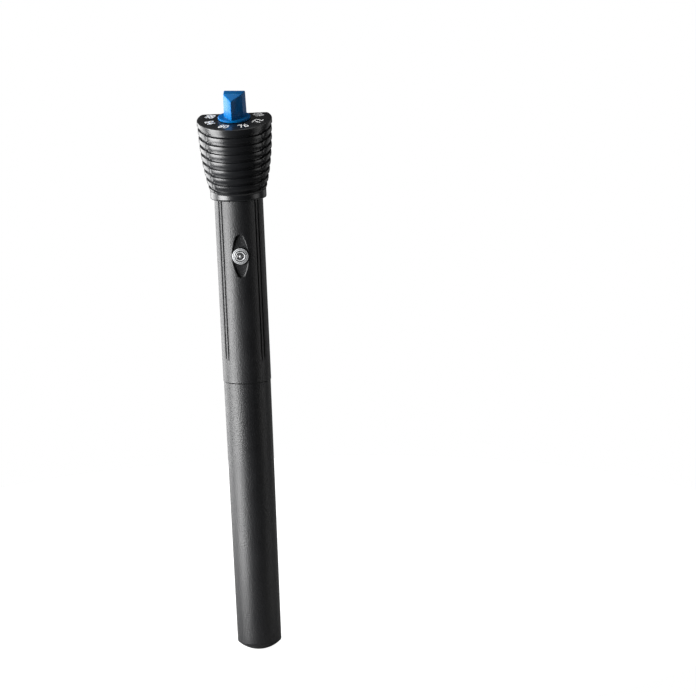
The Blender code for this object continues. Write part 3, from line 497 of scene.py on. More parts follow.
def mould_grain_group() -> bpy.types.NodeTree:
    """The spark-eroded grain of a moulded surface: its height, a soft mottle and fine specks.

    Returns:
        The group.
    """
    sizes = {"Scale": 3000.0, "Mottle Scale": 60.0}
    graph, given, out = new_group("MouldGrain", sizes, ["Height", "Mottle", "Speck"])
    place = graph.add("ShaderNodeTexCoord").outputs["Object"]
    fine = graph.noise(place, given["Scale"], 2.0, 0.6)
    cells = graph.add("ShaderNodeTexVoronoi", feature="F1")
    graph.link(place, cells.inputs["Vector"])
    graph.link(given["Scale"], cells.inputs["Scale"])
    pits = graph.ramp(cells.outputs["Distance"], 0.1, 0.7)
    height = graph.math("ADD", graph.math("MULTIPLY", fine, 0.6), graph.math("MULTIPLY", pits, 0.4))
    graph.link(height, out["Height"])
    graph.link(graph.noise(place, given["Mottle Scale"], 4.0), out["Mottle"])
    graph.link(graph.ramp(graph.noise(place, given["Scale"], 1.0), 0.56, 0.70), out["Speck"])
    return graph.tree


def dust_group() -> bpy.types.NodeTree:
    """Dust that has settled in hollows.

    Returns:
        The group.
    """
    graph, given, out = new_group("Dust", {"Reach": 0.0012, "Amount": 0.3}, ["Mask"])
    hollow = graph.add("ShaderNodeAmbientOcclusion", samples=4, only_local=True)
    graph.link(given["Reach"], hollow.inputs["Distance"])
    closed = graph.ramp(graph.math("SUBTRACT", 1.0, hollow.outputs["AO"]), 0.25, 0.85)
    place = graph.add("ShaderNodeTexCoord").outputs["Object"]
    patches = graph.ramp(graph.noise(place, 220.0, 5.0, 0.7), 0.42, 0.66)
    graph.link(graph.math("MULTIPLY", graph.math("MULTIPLY", closed, patches), given["Amount"]), out["Mask"])
    return graph.tree


def scratches_group() -> bpy.types.NodeTree:
    """Fine lines along one axis, as on turned, drawn or brushed metal.

    Returns:
        The group.
    """
    graph, given, out = new_group("Scratches", {"Across": 900.0, "Along": 12.0}, ["Height"])
    place = graph.add("ShaderNodeTexCoord").outputs["Object"]
    stretch = graph.add("ShaderNodeVectorMath", operation="MULTIPLY")
    graph.link(place, stretch.inputs[0])
    across = graph.add("ShaderNodeCombineXYZ")
    graph.link(given["Along"], across.inputs[0])
    graph.link(given["Along"], across.inputs[1])
    graph.link(given["Across"], across.inputs[2])
    graph.link(across.outputs[0], stretch.inputs[1])
    graph.link(graph.noise(stretch.outputs[0], 1.0, 3.0, 0.7), out["Height"])
    return graph.tree


class Effects:
    """The shared node groups, each built once."""

    def __init__(self) -> None:
        """Builds every group."""
        self.groups = {
            "EdgeWearAndSheen": edge_wear_and_sheen_group(),
            "MouldGrain": mould_grain_group(),
            "Dust": dust_group(),
            "Scratches": scratches_group(),
        }

    def use(self, graph: Graph, name: str, **values: float) -> dict:
        """Places a group in a material.

        Args:
            graph: the material's graph.
            name: the group's name.
            values: its inputs, with underscores for spaces in their names.

        Returns:
            The group node's outputs, by name.
        """
        node = graph.add("ShaderNodeGroup", node_tree=self.groups[name])
        for label, value in values.items():
            node.inputs[label.replace("_", " ")].default_value = value
        return dict(node.outputs.items())


Colour = tuple[float, float, float]
COAT_ROUGHNESS = 0.15
SUBSURFACE_REACH = 2.0 * MM
MOTTLE_SCALE = 70.0
MOTTLE_SPREAD = 0.22
WORN_GLOSS = 0.12
DUST_COLOUR = (0.32, 0.31, 0.29, 1.0)
TINNED_COLOUR = (0.66, 0.66, 0.62, 1.0)


@dataclass(frozen=True)
class Finish:
    """One moulded, drawn or turned finish, with its grain, mottle, edge wear (on the knob also a painted edge
    highlight) and dust.
    """

    name: str
    colour: Colour
    # The colour of worn edges and specks; on the knob the lighter edge colour is also a painted highlight line.
    worn_and_sheen: Colour
    roughness: float
    metallic: float = 0.0
    grain: float = 3000.0
    grain_height: float = 0.00002
    grain_strength: float = 0.25
    mottle: float = 0.12
    speck: float = 0.0
    # The edge band's width and amount: edge wear, and on the knob also a painted highlight line.
    wear_and_sheen_width: float = 0.00035
    wear_and_sheen: float = 0.4
    dust: float = 0.0
    scratches: float = 0.0
    coat: float = 0.0
    specular: float = 0.5
    subsurface: float = 0.0

    def material(self, effects: Effects) -> bpy.types.Material:
        """Builds the finish's material.

        Args:
            effects: the shared node groups.

        Returns:
            The material.
        """
        material = bpy.data.materials.new(self.name)
        material.use_nodes = True
        graph = Graph(material.node_tree)
        shader = graph.tree.nodes["Principled BSDF"]
        shader.inputs["Metallic"].default_value = self.metallic
        shader.inputs["Coat Weight"].default_value = self.coat
        shader.inputs["Coat Roughness"].default_value = COAT_ROUGHNESS
        shader.inputs["Specular IOR Level"].default_value = self.specular
        shader.inputs["Subsurface Weight"].default_value = self.subsurface
        shader.inputs["Subsurface Scale"].default_value = SUBSURFACE_REACH
        grain = effects.use(graph, "MouldGrain", Scale=self.grain, Mottle_Scale=MOTTLE_SCALE)
        # The edge mask: edge wear, and on the knob a painted highlight line along the edges.
        wear_and_sheen = effects.use(graph, "EdgeWearAndSheen", Width=self.wear_and_sheen_width, Amount=self.wear_and_sheen)
        graph.link(self.colouring(graph, effects, grain, wear_and_sheen), shader.inputs["Base Color"])
        uneven = graph.math("MULTIPLY", graph.math("SUBTRACT", grain["Mottle"], 0.5), self.mottle)
        rough = graph.math("ADD", self.roughness, uneven, clamp=True)
        graph.link(graph.math("SUBTRACT", rough, graph.math("MULTIPLY", wear_and_sheen["Mask"], WORN_GLOSS), clamp=True),
                   shader.inputs["Roughness"])
        height = grain["Height"]
        if self.scratches:
            lines = effects.use(graph, "Scratches")
            height = graph.math("ADD", height, graph.math("MULTIPLY", lines["Height"], self.scratches))
        bump = graph.add("ShaderNodeBump")
        bump.inputs["Strength"].default_value = self.grain_strength
        bump.inputs["Distance"].default_value = self.grain_height
        graph.link(height, bump.inputs["Height"])
        graph.link(bump.outputs["Normal"], shader.inputs["Normal"])
        return material

    def colouring(self, graph: Graph, effects: Effects, grain: dict, wear_and_sheen: dict) -> bpy.types.NodeSocket:
        """The colour: mottled, speckled, dusted in hollows and lighter along worn edges, where the knob's lighter
        edges are also a painted highlight.

        Args:
            graph: the material's graph.
            effects: the shared node groups.
            grain: the outputs of the mould grain.
            wear_and_sheen: the outputs of the edge wear and painted edge highlight.

        Returns:
            The colour.
        """
        darker = (*[channel * (1.0 - MOTTLE_SPREAD) for channel in self.colour], 1.0)
        lighter = (*[min(channel * (1.0 + MOTTLE_SPREAD), 1.0) for channel in self.colour], 1.0)
        colour = graph.mix(grain["Mottle"], darker, lighter)
        if self.speck:
            share = graph.math("MULTIPLY", grain["Speck"], self.speck)
            colour = graph.mix(share, colour, (*self.worn_and_sheen, 1.0))
        if self.dust:
            dust = effects.use(graph, "Dust", Amount=self.dust)
            colour = graph.mix(dust["Mask"], colour, DUST_COLOUR)
        # Lighter along the edges: wear, and on the knob a painted highlight.
        return graph.mix(wear_and_sheen["Mask"], colour, (*self.worn_and_sheen, 1.0))


@dataclass(frozen=True)
class BoardFinish(Finish):
    """Solder mask on glass laminate, with copper tracks and tinned pads under it."""

    track_scale: float = 380.0
    track_width: float = 0.035
    track_lift: float = 1.9
    pad_size: float = 0.26
    pad_edge: float = 0.03
    pad_spread: float = 0.55

    def colouring(self, graph: Graph, effects: Effects, grain: dict, wear_and_sheen: dict) -> bpy.types.NodeSocket:
        """Tracks as lighter bands, and bright pads between them.

        Args:
            graph: the material's graph.
            effects: the shared node groups.
            grain: the outputs of the mould grain.
            wear_and_sheen: the outputs of the edge wear and painted edge highlight.

        Returns:
            The colour.
        """
        base = super().colouring(graph, effects, grain, wear_and_sheen)
        place = graph.add("ShaderNodeTexCoord").outputs["Object"]
        tracks = graph.add("ShaderNodeTexBrick", offset=0.5, squash=1.4, squash_frequency=3)
        graph.link(place, tracks.inputs["Vector"])
        tracks.inputs["Scale"].default_value = self.track_scale
        tracks.inputs["Mortar Size"].default_value = self.track_width
        lighter = (*[min(channel * self.track_lift, 1.0) for channel in self.colour], 1.0)
        colour = graph.mix(tracks.outputs["Fac"], base, lighter)
        pads = graph.add("ShaderNodeTexVoronoi", feature="F1")
        graph.link(place, pads.inputs["Vector"])
        pads.inputs["Scale"].default_value = self.track_scale
        pads.inputs["Randomness"].default_value = self.pad_spread
        near = graph.math("SUBTRACT", self.pad_size, pads.outputs["Distance"])
        return graph.mix(graph.ramp(near, 0.0, self.pad_edge), colour, TINNED_COLOUR)


@dataclass(frozen=True)
class BandedFinish(Finish):
    """Lacquer with coloured bands along Z, as on a resistor."""

    band_spacing: float = 1.6 * MM
    band_edges: tuple[float, float] = (0.34, 0.36)
    bands: Colour = (0.30, 0.10, 0.03)

    def colouring(self, graph: Graph, effects: Effects, grain: dict, wear_and_sheen: dict) -> bpy.types.NodeSocket:
        """The lacquer with narrow bands across it.

        Args:
            graph: the material's graph.
            effects: the shared node groups.
            grain: the outputs of the mould grain.
            wear_and_sheen: the outputs of the edge wear and painted edge highlight.

        Returns:
            The colour.
        """
        base = super().colouring(graph, effects, grain, wear_and_sheen)
        place = graph.add("ShaderNodeTexCoord").outputs["Object"]
        axes = graph.add("ShaderNodeSeparateXYZ")
        graph.link(place, axes.inputs[0])
        turns = graph.math("FRACT", graph.math("DIVIDE", axes.outputs["Z"], self.band_spacing))
        off = graph.math("ABSOLUTE", graph.math("SUBTRACT", turns, 0.5))
        band = graph.ramp(off, *self.band_edges)
        return graph.mix(band, base, (*self.bands, 1.0))


@dataclass(frozen=True)
class RingedFinish(Finish):
    """Clear plastic with painted highlight rings about an axis along Y, as on the crests of a small fluted lens."""

    height: float = 0.0
    radius: float = 4.1 * MM
    # The colour of the painted highlight on the ring crests.
    crest_highlight: Colour = (0.48, 0.49, 0.50)
    # Each stop: its place out from the axis, and how much painted highlight it has.
    rings: tuple[tuple[float, float], ...] = (
        (0.00, 0.75), (0.20, 0.60), (0.27, 0.0), (0.42, 0.0), (0.46, 0.85), (0.57, 0.80), (0.61, 0.0),
        (0.69, 0.0), (0.73, 0.75), (0.81, 0.85), (0.84, 0.2), (0.88, 0.2), (0.91, 0.95), (1.0, 0.6),
    )

    def colouring(self, graph: Graph, effects: Effects, grain: dict, wear_and_sheen: dict) -> bpy.types.NodeSocket:
        """The clear colour with painted highlight rings, by the distance from the lens's axis.

        Args:
            graph: the material's graph.
            effects: the shared node groups.
            grain: the outputs of the mould grain.
            wear_and_sheen: the outputs of the edge wear and painted edge highlight.

        Returns:
            The colour.
        """
        base = super().colouring(graph, effects, grain, wear_and_sheen)
        axes = graph.add("ShaderNodeSeparateXYZ")
        graph.link(graph.add("ShaderNodeTexCoord").outputs["Object"], axes.inputs[0])
        rise = graph.math("SUBTRACT", axes.outputs["Z"], self.height)
        across = graph.math("MULTIPLY", axes.outputs["X"], axes.outputs["X"])
        square = graph.math("ADD", across, graph.math("MULTIPLY", rise, rise))
        reach = graph.math("DIVIDE", graph.math("SQRT", square), self.radius)
        shades = graph.add("ShaderNodeValToRGB")
        graph.link(reach, shades.inputs["Fac"])
        stops = shades.color_ramp.elements
        while len(stops) < len(self.rings):
            stops.new(1.0)
        # The ramp paints the highlight rings by distance from the axis.
        for stop, (place, highlight_share) in zip(stops, self.rings):
            stop.position = place
            stop.color = (highlight_share, highlight_share, highlight_share, 1.0)
        return graph.mix(shades.outputs["Color"], base, (*self.crest_highlight, 1.0))


FINISHES: dict[str, Finish] = {
    "housing_plastic": Finish(
        "SatinBlackHousing", (0.0065, 0.0070, 0.0080), (0.060, 0.062, 0.066), 0.29, grain=2200.0,
        grain_height=0.00003, grain_strength=0.30, mottle=0.14, speck=0.03, wear_and_sheen=0.25, specular=0.55),
    "tube_plastic": Finish(
        "MattBlackTube", (0.0050, 0.0053, 0.0062), (0.050, 0.051, 0.054), 0.44, grain=1500.0,
        grain_height=0.00013, grain_strength=0.9, mottle=0.14, speck=0.14, wear_and_sheen=0.25),
    # The knob's light edge colour, high edge amount and narrow edge band paint a highlight line along its edges,
    # partly edge wear and partly painted highlight.
    "knob_plastic": Finish(
        "BlueKnob", (0.0, 0.104, 0.310), (0.060, 0.360, 0.640), 0.32, grain=3000.0,
        grain_height=0.00002, grain_strength=0.20, mottle=0.10, wear_and_sheen=0.75, wear_and_sheen_width=0.00022,
        specular=0.10),
    "dial_print": Finish(
        "WhitePrint", (0.95, 0.95, 0.94), (0.80, 0.80, 0.78), 0.45, grain=5200.0,
        grain_height=0.00001, grain_strength=0.2, mottle=0.10, wear_and_sheen=0.15),
    # The lens's bright rings are painted highlights on its crests.
    "lens_clear": RingedFinish(
        "ClearLens", (0.012, 0.012, 0.013), (0.50, 0.51, 0.51), 0.24, grain=900.0,
        grain_height=0.000003, grain_strength=0.10, mottle=0.05, wear_and_sheen=0.35, wear_and_sheen_width=0.00012,
        coat=0.4, height=Layout.from_frame().lens_centre.z),
    "seal_rubber": Finish(
        "SealRubber", (0.016, 0.016, 0.017), (0.060, 0.060, 0.060), 0.62, grain=2200.0,
        grain_strength=0.35, mottle=0.16, dust=0.2),
    "steel": Finish(
        "GroundSteel", (0.56, 0.56, 0.57), (0.80, 0.80, 0.80), 0.26, metallic=1.0, scratches=0.8,
        grain_strength=0.25),
    "brass": Finish(
        "TurnedBrass", (0.69, 0.50, 0.20), (0.88, 0.72, 0.40), 0.27, metallic=1.0, scratches=0.8,
        mottle=0.20),
    "aluminium": Finish(
        "RolledAluminium", (0.68, 0.69, 0.70), (0.86, 0.86, 0.87), 0.34, metallic=1.0, scratches=0.7),
    "nylon": Finish(
        "NaturalNylon", (0.70, 0.68, 0.60), (0.82, 0.81, 0.76), 0.44, grain=1800.0, subsurface=0.15),
    "board_laminate": BoardFinish(
        "GreenBoard", (0.015, 0.120, 0.050), (0.30, 0.34, 0.22), 0.30, grain=1500.0, coat=0.3),
    "component_resin": Finish(
        "ComponentResin", (0.022, 0.022, 0.024), (0.080, 0.080, 0.085), 0.48, grain=2600.0,
        grain_strength=0.4, speck=0.12),
    "film_box": Finish(
        "FilmBox", (0.46, 0.070, 0.030), (0.66, 0.22, 0.14), 0.30, grain=2400.0, coat=0.15),
    "can_sleeve": Finish(
        "CanSleeve", (0.015, 0.035, 0.110), (0.10, 0.14, 0.26), 0.26, grain=1200.0, coat=0.3),
    "resistor_coat": BandedFinish(
        "ResistorCoat", (0.28, 0.42, 0.50), (0.50, 0.60, 0.66), 0.36, grain=1700.0, coat=0.2),
    "ceramic": Finish(
        "Steatite", (0.74, 0.71, 0.64), (0.86, 0.84, 0.80), 0.62, grain=1400.0, grain_strength=0.5,
        mottle=0.25, speck=0.2),
    "mica": Finish(
        "RolledMica", (0.40, 0.32, 0.18), (0.62, 0.54, 0.38), 0.34, grain=620.0, grain_height=0.00005,
        grain_strength=0.5, mottle=0.30, speck=0.4),
    "heating_wire": Finish(
        "ResistanceWire", (0.34, 0.31, 0.29), (0.55, 0.52, 0.48), 0.36, metallic=1.0, mottle=0.30,
        scratches=0.4),
    "silicone": Finish(
        "RedSilicone", (0.56, 0.13, 0.075), (0.70, 0.30, 0.24), 0.50, grain=1500.0, subsurface=0.10,
        dust=0.1),
    "wire_red": Finish("RedWire", (0.42, 0.022, 0.018), (0.60, 0.16, 0.14), 0.34, grain=1300.0, coat=0.1),
    "wire_white": Finish("WhiteWire", (0.72, 0.72, 0.69), (0.84, 0.84, 0.82), 0.36, grain=1300.0, coat=0.1),
}


class Wardrobe:
    """Every finish as a material, and the dressing of pieces in them."""

    def __init__(self) -> None:
        """Builds the shared effects and one material for each slot."""
        effects = Effects()
        self.materials = {slot: finish.material(effects) for slot, finish in FINISHES.items()}

    def dress(self, piece: bpy.types.Object, slot: str) -> bpy.types.Object:
        """Gives a whole piece one finish.

        Args:
            piece: the piece.
            slot: the record's material slot.

        Returns:
            The same piece.
        """
        piece.data.materials.clear()
        piece.data.materials.append(self.materials[slot])
        return piece


# ---------------------------------------------------------------------------------------------
# The housing.
# ---------------------------------------------------------------------------------------------


@dataclass
class HeatingTube:
    """The lower tube: a slim taper with a shallow dome and a bright lip at the seam."""

    top_radius: float = 11.98 * MM
    rim_radius: float = 11.28 * MM
    wall: float = 2.0 * MM
    dome_height: float = 4.3 * MM
    tip_radius: float = 3.5 * MM
    lip: float = 0.25 * MM
    rim_fillet: float = 0.8 * MM
    seam_rise: float = 0.18 * MM
    sides: int = 192

    def dome(self, rim: float, lift: float, steps: int) -> Profile:
        """Points from a dome's rim to its tip.

        Args:
            rim: the radius at the rim.
            lift: how far the tip is above the tube's lowest point.
            steps: how many stretches the dome has.

        Returns:
            The dome's profile, from its rim down.
        """
        rise = (rim**2 - self.tip_radius**2) / (2.0 * self.dome_height) - self.dome_height / 2.0
        sphere = math.hypot(rim, rise)
        start, end = math.asin(rim / sphere), math.asin(self.tip_radius / sphere)
        centre = lift + self.dome_height + rise
        angles = [start + (end - start) * step / steps for step in range(steps + 1)]
        return [(sphere * math.sin(a), centre - sphere * math.cos(a)) for a in angles]

    def build(self, layout: Layout, wardrobe: Wardrobe) -> None:
        """Builds the tube and dresses it."""
        top = layout.tube_top + self.seam_rise
        low_rim = self.dome(self.rim_radius, 0.0, 20)
        stretches = 40
        start = (self.top_radius, top - self.lip)
        side = [
            (
                start[0] + (self.rim_radius - start[0]) * step / stretches,
                start[1] + (low_rim[0][1] + self.rim_fillet - start[1]) * step / stretches,
            )
            for step in range(stretches + 1)
        ]
        rim = fillet([side[-2], (*low_rim[0], self.rim_fillet), low_rim[3]], 6)[1:-1]
        inside = self.dome(self.rim_radius - self.wall, self.wall, 10)
        profile = [(self.top_radius - self.lip * 0.8, top)] + side[:-1] + rim + low_rim[4:]
        profile += [(self.tip_radius * 0.5, 0.0), (0.0, 0.0), (0.0, self.wall)] + inside[::-1]
        profile += [(self.top_radius - self.wall, top)]
        tube = turned("heating_tube", profile, self.sides)
        wardrobe.dress(tube, "tube_plastic")
        settle(tube, Body.HOUSING, "tube_plastic", "lower_tube")


@dataclass
class Barrel:
    """The upper barrel, with the panel grooves down its front and the eye-shaped window."""

    top_radius: float = 12.33 * MM
    seam_radius: float = 12.23 * MM
    wall: float = 2.0 * MM
    spigot_radius: float = 11.6 * MM
    spigot_bore: float = 9.6 * MM
    seal_floor: float = 10.6 * MM
    groove_angles: tuple[float, ...] = (43.0, 53.0)
    groove_width: float = 1.25 * MM
    groove_depth: float = 0.55 * MM
    groove_fade: tuple[float, float] = (9.0 * MM, 14.5 * MM)
    window_height: float = 22.3 * MM
    window_width: float = 8.6 * MM
    window_depth: float = 1.3 * MM
    window_end: float = 2.3 * MM
    window_steps: int = 34
    window_end_steps: int = 12
    lens_radius: float = 4.1 * MM
    stem_radius: float = 2.6 * MM
    gap: float = 0.3 * MM
    columns: int = 200
    groove_columns: int = 11

    def angles(self) -> list[float]:
        """Angles round the barrel from the front, close together across the grooves."""
        reach = math.degrees(self.groove_width / self.top_radius) * 0.75
        grooves = [side * angle for angle in self.groove_angles for side in (-1.0, 1.0)]
        even = [360.0 * step / self.columns - 180.0 for step in range(self.columns)]
        kept = [a for a in even if all(abs(a - groove) > reach * 1.08 for groove in grooves)]
        for groove in grooves:
            steps = range(self.groove_columns)
            kept += [groove - reach + 2.0 * reach * step / (self.groove_columns - 1) for step in steps]
        return [math.radians(angle) for angle in sorted(kept)]

    def groove(self, angle: float, height: float, layout: Layout) -> float:
        """How deep the panel grooves are at an angle and a height."""
        low, high = (layout.barrel_low + rise for rise in self.groove_fade)
        fade = smoothstep(low, high, height)
        deepest = 0.0
        for middle in self.groove_angles:
            off = abs(abs(angle) - math.radians(middle)) * self.top_radius
            deepest = max(deepest, 1.0 - smoothstep(self.groove_width * 0.12, self.groove_width / 2, off))
        return self.groove_depth * fade * deepest

    def radius(self, height: float, layout: Layout) -> float:
        """The barrel's outer radius at a height, without its grooves."""
        share = (height - layout.barrel_low) / (layout.collar_low - layout.barrel_low)
        return self.seam_radius + (self.top_radius - self.seam_radius) * share

    def rings(self, layout: Layout) -> list[Ring]:
        """The rings of the barrel, down its outside and up its bore."""
        low, top = layout.barrel_low, layout.collar_low - self.gap
        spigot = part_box("upper_barrel")[1].z
        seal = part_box("head_seal_ring")
        seal_low, seal_high = seal[0].z - 0.25 * MM, seal[1].z + 0.25 * MM
        angles = self.angles()

        def plain(radius: float, height: float) -> Ring:
            """A round ring at a height."""
            return [Vector((radius * math.sin(a), -radius * math.cos(a), height)) for a in angles]

        def grooved(height: float) -> Ring:
            """A ring of the outside, with the grooves in it."""
            ring = []
            for a in angles:
                r = self.radius(height, layout) - self.groove(a, height, layout)
                ring.append(Vector((r * math.sin(a), -r * math.cos(a), height)))
            return ring

        rings = [plain(self.spigot_radius - 0.2 * MM, spigot), plain(self.spigot_radius, spigot - 0.2 * MM)]
        for radius, height in (
            (self.spigot_radius, seal_high),
            (self.seal_floor, seal_high),
            (self.seal_floor, seal_low),
            (self.spigot_radius, seal_low),
            (self.spigot_radius, top),
        ):
            rings.append(plain(radius, height))
        steps = 60
        lip = 0.25 * MM
        for step in range(steps + 1):
            rings.append(grooved(top + (low + lip - top) * step / steps))
        rings.append(plain(self.seam_radius - lip, low))
        rings.append(plain(self.seam_radius - self.wall, low))
        rings.append(plain(self.top_radius - self.wall, top - self.wall))
        rings.append(plain(self.spigot_bore, top))
        rings.append(plain(self.spigot_bore, spigot))
        return rings

    def window_outline(self, grow: float) -> Profile:
        """The eye shape of two arcs with rounded ends, moved out by a distance."""
        half_height, half_width = self.window_height / 2, self.window_width / 2
        end = self.window_end
        tip = half_height - end
        arc = (tip**2 + half_width**2 - end**2) / (2.0 * (half_width - end))
        turn = math.asin(tip / (arc - end))
        outline = []
        for side in (1, -1):
            for step in range(self.window_steps):
                angle = side * (-turn + 2.0 * turn * step / self.window_steps)
                reach = arc + grow
                outline.append((side * (reach * math.cos(angle) - arc + half_width), reach * math.sin(angle)))
            for step in range(self.window_end_steps):
                angle = turn + (math.pi - 2.0 * turn) * step / self.window_end_steps
                reach = end + grow
                outline.append((side * reach * math.cos(angle), side * (tip + reach * math.sin(angle))))
        return outline

    def window_tool(self, layout: Layout) -> bpy.types.Object:
        """The shape that cuts the window, which follows the barrel's surface with a soft rim."""
        height = layout.lens_centre.z
        radius = self.radius(height, layout)
        floor = self.top_radius - self.window_depth

        def ring(grow: float, rise: float, on_floor: float) -> Ring:
            """One outline of the window, between its flat floor and the barrel's surface."""
            points = []
            for x, z in self.window_outline(grow):
                surface = math.sqrt(radius**2 - x**2)
                depth = floor * on_floor + surface * (1.0 - on_floor) + rise
                points.append(Vector((x, -depth, height + z)))
            return points

        middle = Vector((0.0, -floor, height))
        outer = Vector((0.0, -radius - 2.0 * MM, height))
        count = len(self.window_outline(0.0))
        rings = [[middle] * count]
        for grow, rise, on_floor in (
            (-0.55 * MM, 0.0, 1.0),
            (-0.38 * MM, 0.04 * MM, 1.0),
            (-0.27 * MM, 0.12 * MM, 1.0),
            (-0.20 * MM, -0.16 * MM, 0.0),
            (-0.15 * MM, -0.08 * MM, 0.0),
            (-0.06 * MM, -0.02 * MM, 0.0),
            (0.06 * MM, 0.015 * MM, 0.0),
            (0.30 * MM, 0.40 * MM, 0.0),
        ):
            rings.append(ring(grow, rise, on_floor))
        rings.append([point + Vector((0.0, -1.2 * MM, 0.0)) for point in rings[-1]])
        rings.append([outer] * count)
        return lattice("window_tool", rings)

    def boss_and_bore(self, barrel: bpy.types.Object, layout: Layout) -> None:
        """Thickens the wall behind the lens, then bores its stepped hole."""
        inner = self.top_radius - self.wall - 1.7 * MM
        floor = self.top_radius - self.window_depth
        boss = [(0.0, floor - 0.3 * MM), (self.lens_radius + 1.0 * MM, floor - 0.3 * MM)]
        boss += [(self.lens_radius + 1.0 * MM, inner), (0.0, inner)]
        place = Matrix.Translation((0, 0, layout.lens_centre.z)) @ Matrix.Rotation(math.pi / 2, 4, "X")
        combine(barrel, move(turned("boss", boss, 90, loop=False), place), Cut.ADD)
        combine(barrel, self.window_tool(layout), Cut.REMOVE, crease=28.0)
        wide, narrow = self.lens_radius + self.gap, self.stem_radius + self.gap
        ledge = floor - 1.0 * MM
        bore = [(0.0, floor + 2.0 * MM), (wide, floor + 2.0 * MM), (wide, ledge), (narrow, ledge)]
        bore += [(narrow, 4.0 * MM), (0.0, 4.0 * MM)]
        combine(barrel, move(turned("bore", bore, 90, loop=False), place), Cut.REMOVE, crease=28.0)

    def build(self, layout: Layout, wardrobe: Wardrobe) -> None:
        """Builds the barrel and dresses it."""
        barrel = lattice("barrel", self.rings(layout), loop=True)
        self.boss_and_bore(barrel, layout)
        wardrobe.dress(barrel, "tube_plastic")
        settle(barrel, Body.HOUSING, "housing_plastic", "upper_barrel")


@dataclass
class Head:
    """The ribbed head: a round cap about a leaning axis, with a flat sloping back and a gland."""

    top_radius: float = 18.95 * MM
    neck_radius: float = 15.2 * MM
    collar_radius: float = 14.2 * MM
    height: float = 36.7 * MM
    collar_slope: float = 1.6 * MM
    flare: float = 2.25
    dial_thickness: float = 3.8 * MM
    ribs: int = 8
    pitch: float = 4.35 * MM
    groove_width: float = 1.75 * MM
    groove_depth: float = 1.45 * MM
    groove_edge: float = 0.40 * MM
    louvre: float = 0.22 * MM
    bulge: float = 0.34 * MM
    parting_drop: float = 3.15 * MM
    crease_angle: float = 50.0
    crease_depth: float = 0.20 * MM
    crease_width: float = 1.6 * MM
    flank_drop: float = 0.30 * MM
    flank_set: float = 0.42 * MM
    chord: float = 8.9 * MM
    back_lean: float = math.radians(10.3)
    corner: float = 1.6 * MM
    wall: float = 2.6 * MM
    socket_radius: float = 11.9 * MM
    bush_radius: float = 4.3 * MM
    rim: float = 0.55 * MM
    gland_radius: float = 6.0 * MM
    gland_ledge: float = 6.0 * MM
    grommet_radius: float = 4.6 * MM
    cord_bore: float = 3.4 * MM
    columns: int = 264
    row_step: float = 0.155 * MM

    def flared(self, height: float) -> float:
        """The radius of the head's round form at a height above its pivot, without ribs."""
        drop = (self.height - height) / (self.height - self.collar_slope)
        return self.top_radius - (self.top_radius - self.neck_radius) * max(drop, 0.0) ** self.flare

    def rib_cut(self, height: float) -> float:
        """How far the surface is in from the round form at a height: its grooves and louvres."""
        first = self.height - self.dial_thickness
        if height > first + self.groove_width:
            return 0.0
        number = round((first - height) / self.pitch)
        number = min(max(number, 0), self.ribs - 1)
        off = height - (first - number * self.pitch)
        groove = self.groove_depth * (
            1.0 - smoothstep(self.groove_width / 2 - self.groove_edge / 2, self.groove_width / 2 + self.groove_edge / 2, abs(off))
        )
        below = (first - height) / self.pitch % 1.0
        lip = self.louvre * (1.0 - below) + self.bulge * (2.0 * below - 1.0) ** 2 if height < first else 0.0
        parting = first - self.parting_drop
        line = 0.22 * MM * (1.0 - smoothstep(0.05 * MM, 0.16 * MM, abs(height - parting)))
        return max(groove, lip * (1.0 - smoothstep(0.0, 1.0, groove / self.groove_depth)), line)

    def back_limit(self, height: float, inset: float, angle: float) -> float:
        """How far the sloping back lets the surface reach at an angle from the front."""
        forward = -math.cos(angle)
        if forward <= 0.02:
            return 1.0
        back = self.chord - inset / math.cos(self.back_lean) + (self.height - height) * math.tan(self.back_lean)
        return back / forward

    def outer_radius(self, height: float, angle: float) -> float:
        """The head's surface: ribs, the two lengthwise creases, and the flat back."""
        turn = math.atan2(math.sin(angle), math.cos(angle))
        off = (abs(turn) - math.radians(self.crease_angle)) * self.neck_radius
        on_flank = smoothstep(0.0, self.crease_width, off)
        below_dial = smoothstep(0.0, 1.5 * MM, self.height - self.dial_thickness - height)
        ribs = self.rib_cut(height) * (1.0 - on_flank) + self.rib_cut(height - self.flank_set) * on_flank
        crease = self.crease_depth * (1.0 - smoothstep(0.0, self.crease_width / 2, abs(off)))
        inset = ribs + below_dial * (crease + self.flank_drop * on_flank * 0.5)
        round_form = self.flared(height) - inset
        return soft_min(round_form, self.back_limit(height, 0.0, angle), self.corner)

    def ring(self, height: float, radius: RadiusRule, layout: Layout) -> Ring:
        """A ring about the leaning axis, from a radius that may change round it."""
        points = []
        for angle in circle_angles(self.columns):
            r = radius(height, angle)
            local = Vector((r * math.sin(angle), -r * math.cos(angle), height - self.height))
            points.append(layout.head @ local)
        return points

    def outside(self, layout: Layout) -> list[Ring]:
        """From the dial's rim down to the collar."""
        rings = []
        for step in range(6):
            turn = math.radians(90.0 * step / 5)
            drop, inset = self.rim * (1.0 - math.cos(turn)), self.rim * (1.0 - math.sin(turn))
            rings.append(self.ring(self.height - drop, lambda h, a, i=inset: self.outer_radius(h, a) - i, layout))
        low = self.collar_slope - 0.1 * MM
        count = round((self.height - self.rim - low) / self.row_step)
        for step in range(1, count + 1):
            height = self.height - self.rim - (self.height - self.rim - low) * step / count
            rings.append(self.ring(height, self.outer_radius, layout))
        return rings

    def collar(self, last: Ring, layout: Layout) -> list[Ring]:
        """From the lowest rib to the collar's rounded lower edge, and in to the socket."""
        low, edge = layout.collar_low, 0.9 * MM

        def level(radius: float, height: float) -> Ring:
            """A level ring about the tube."""
            angles = circle_angles(self.columns)
            return [Vector((radius * math.sin(a), -radius * math.cos(a), height)) for a in angles]

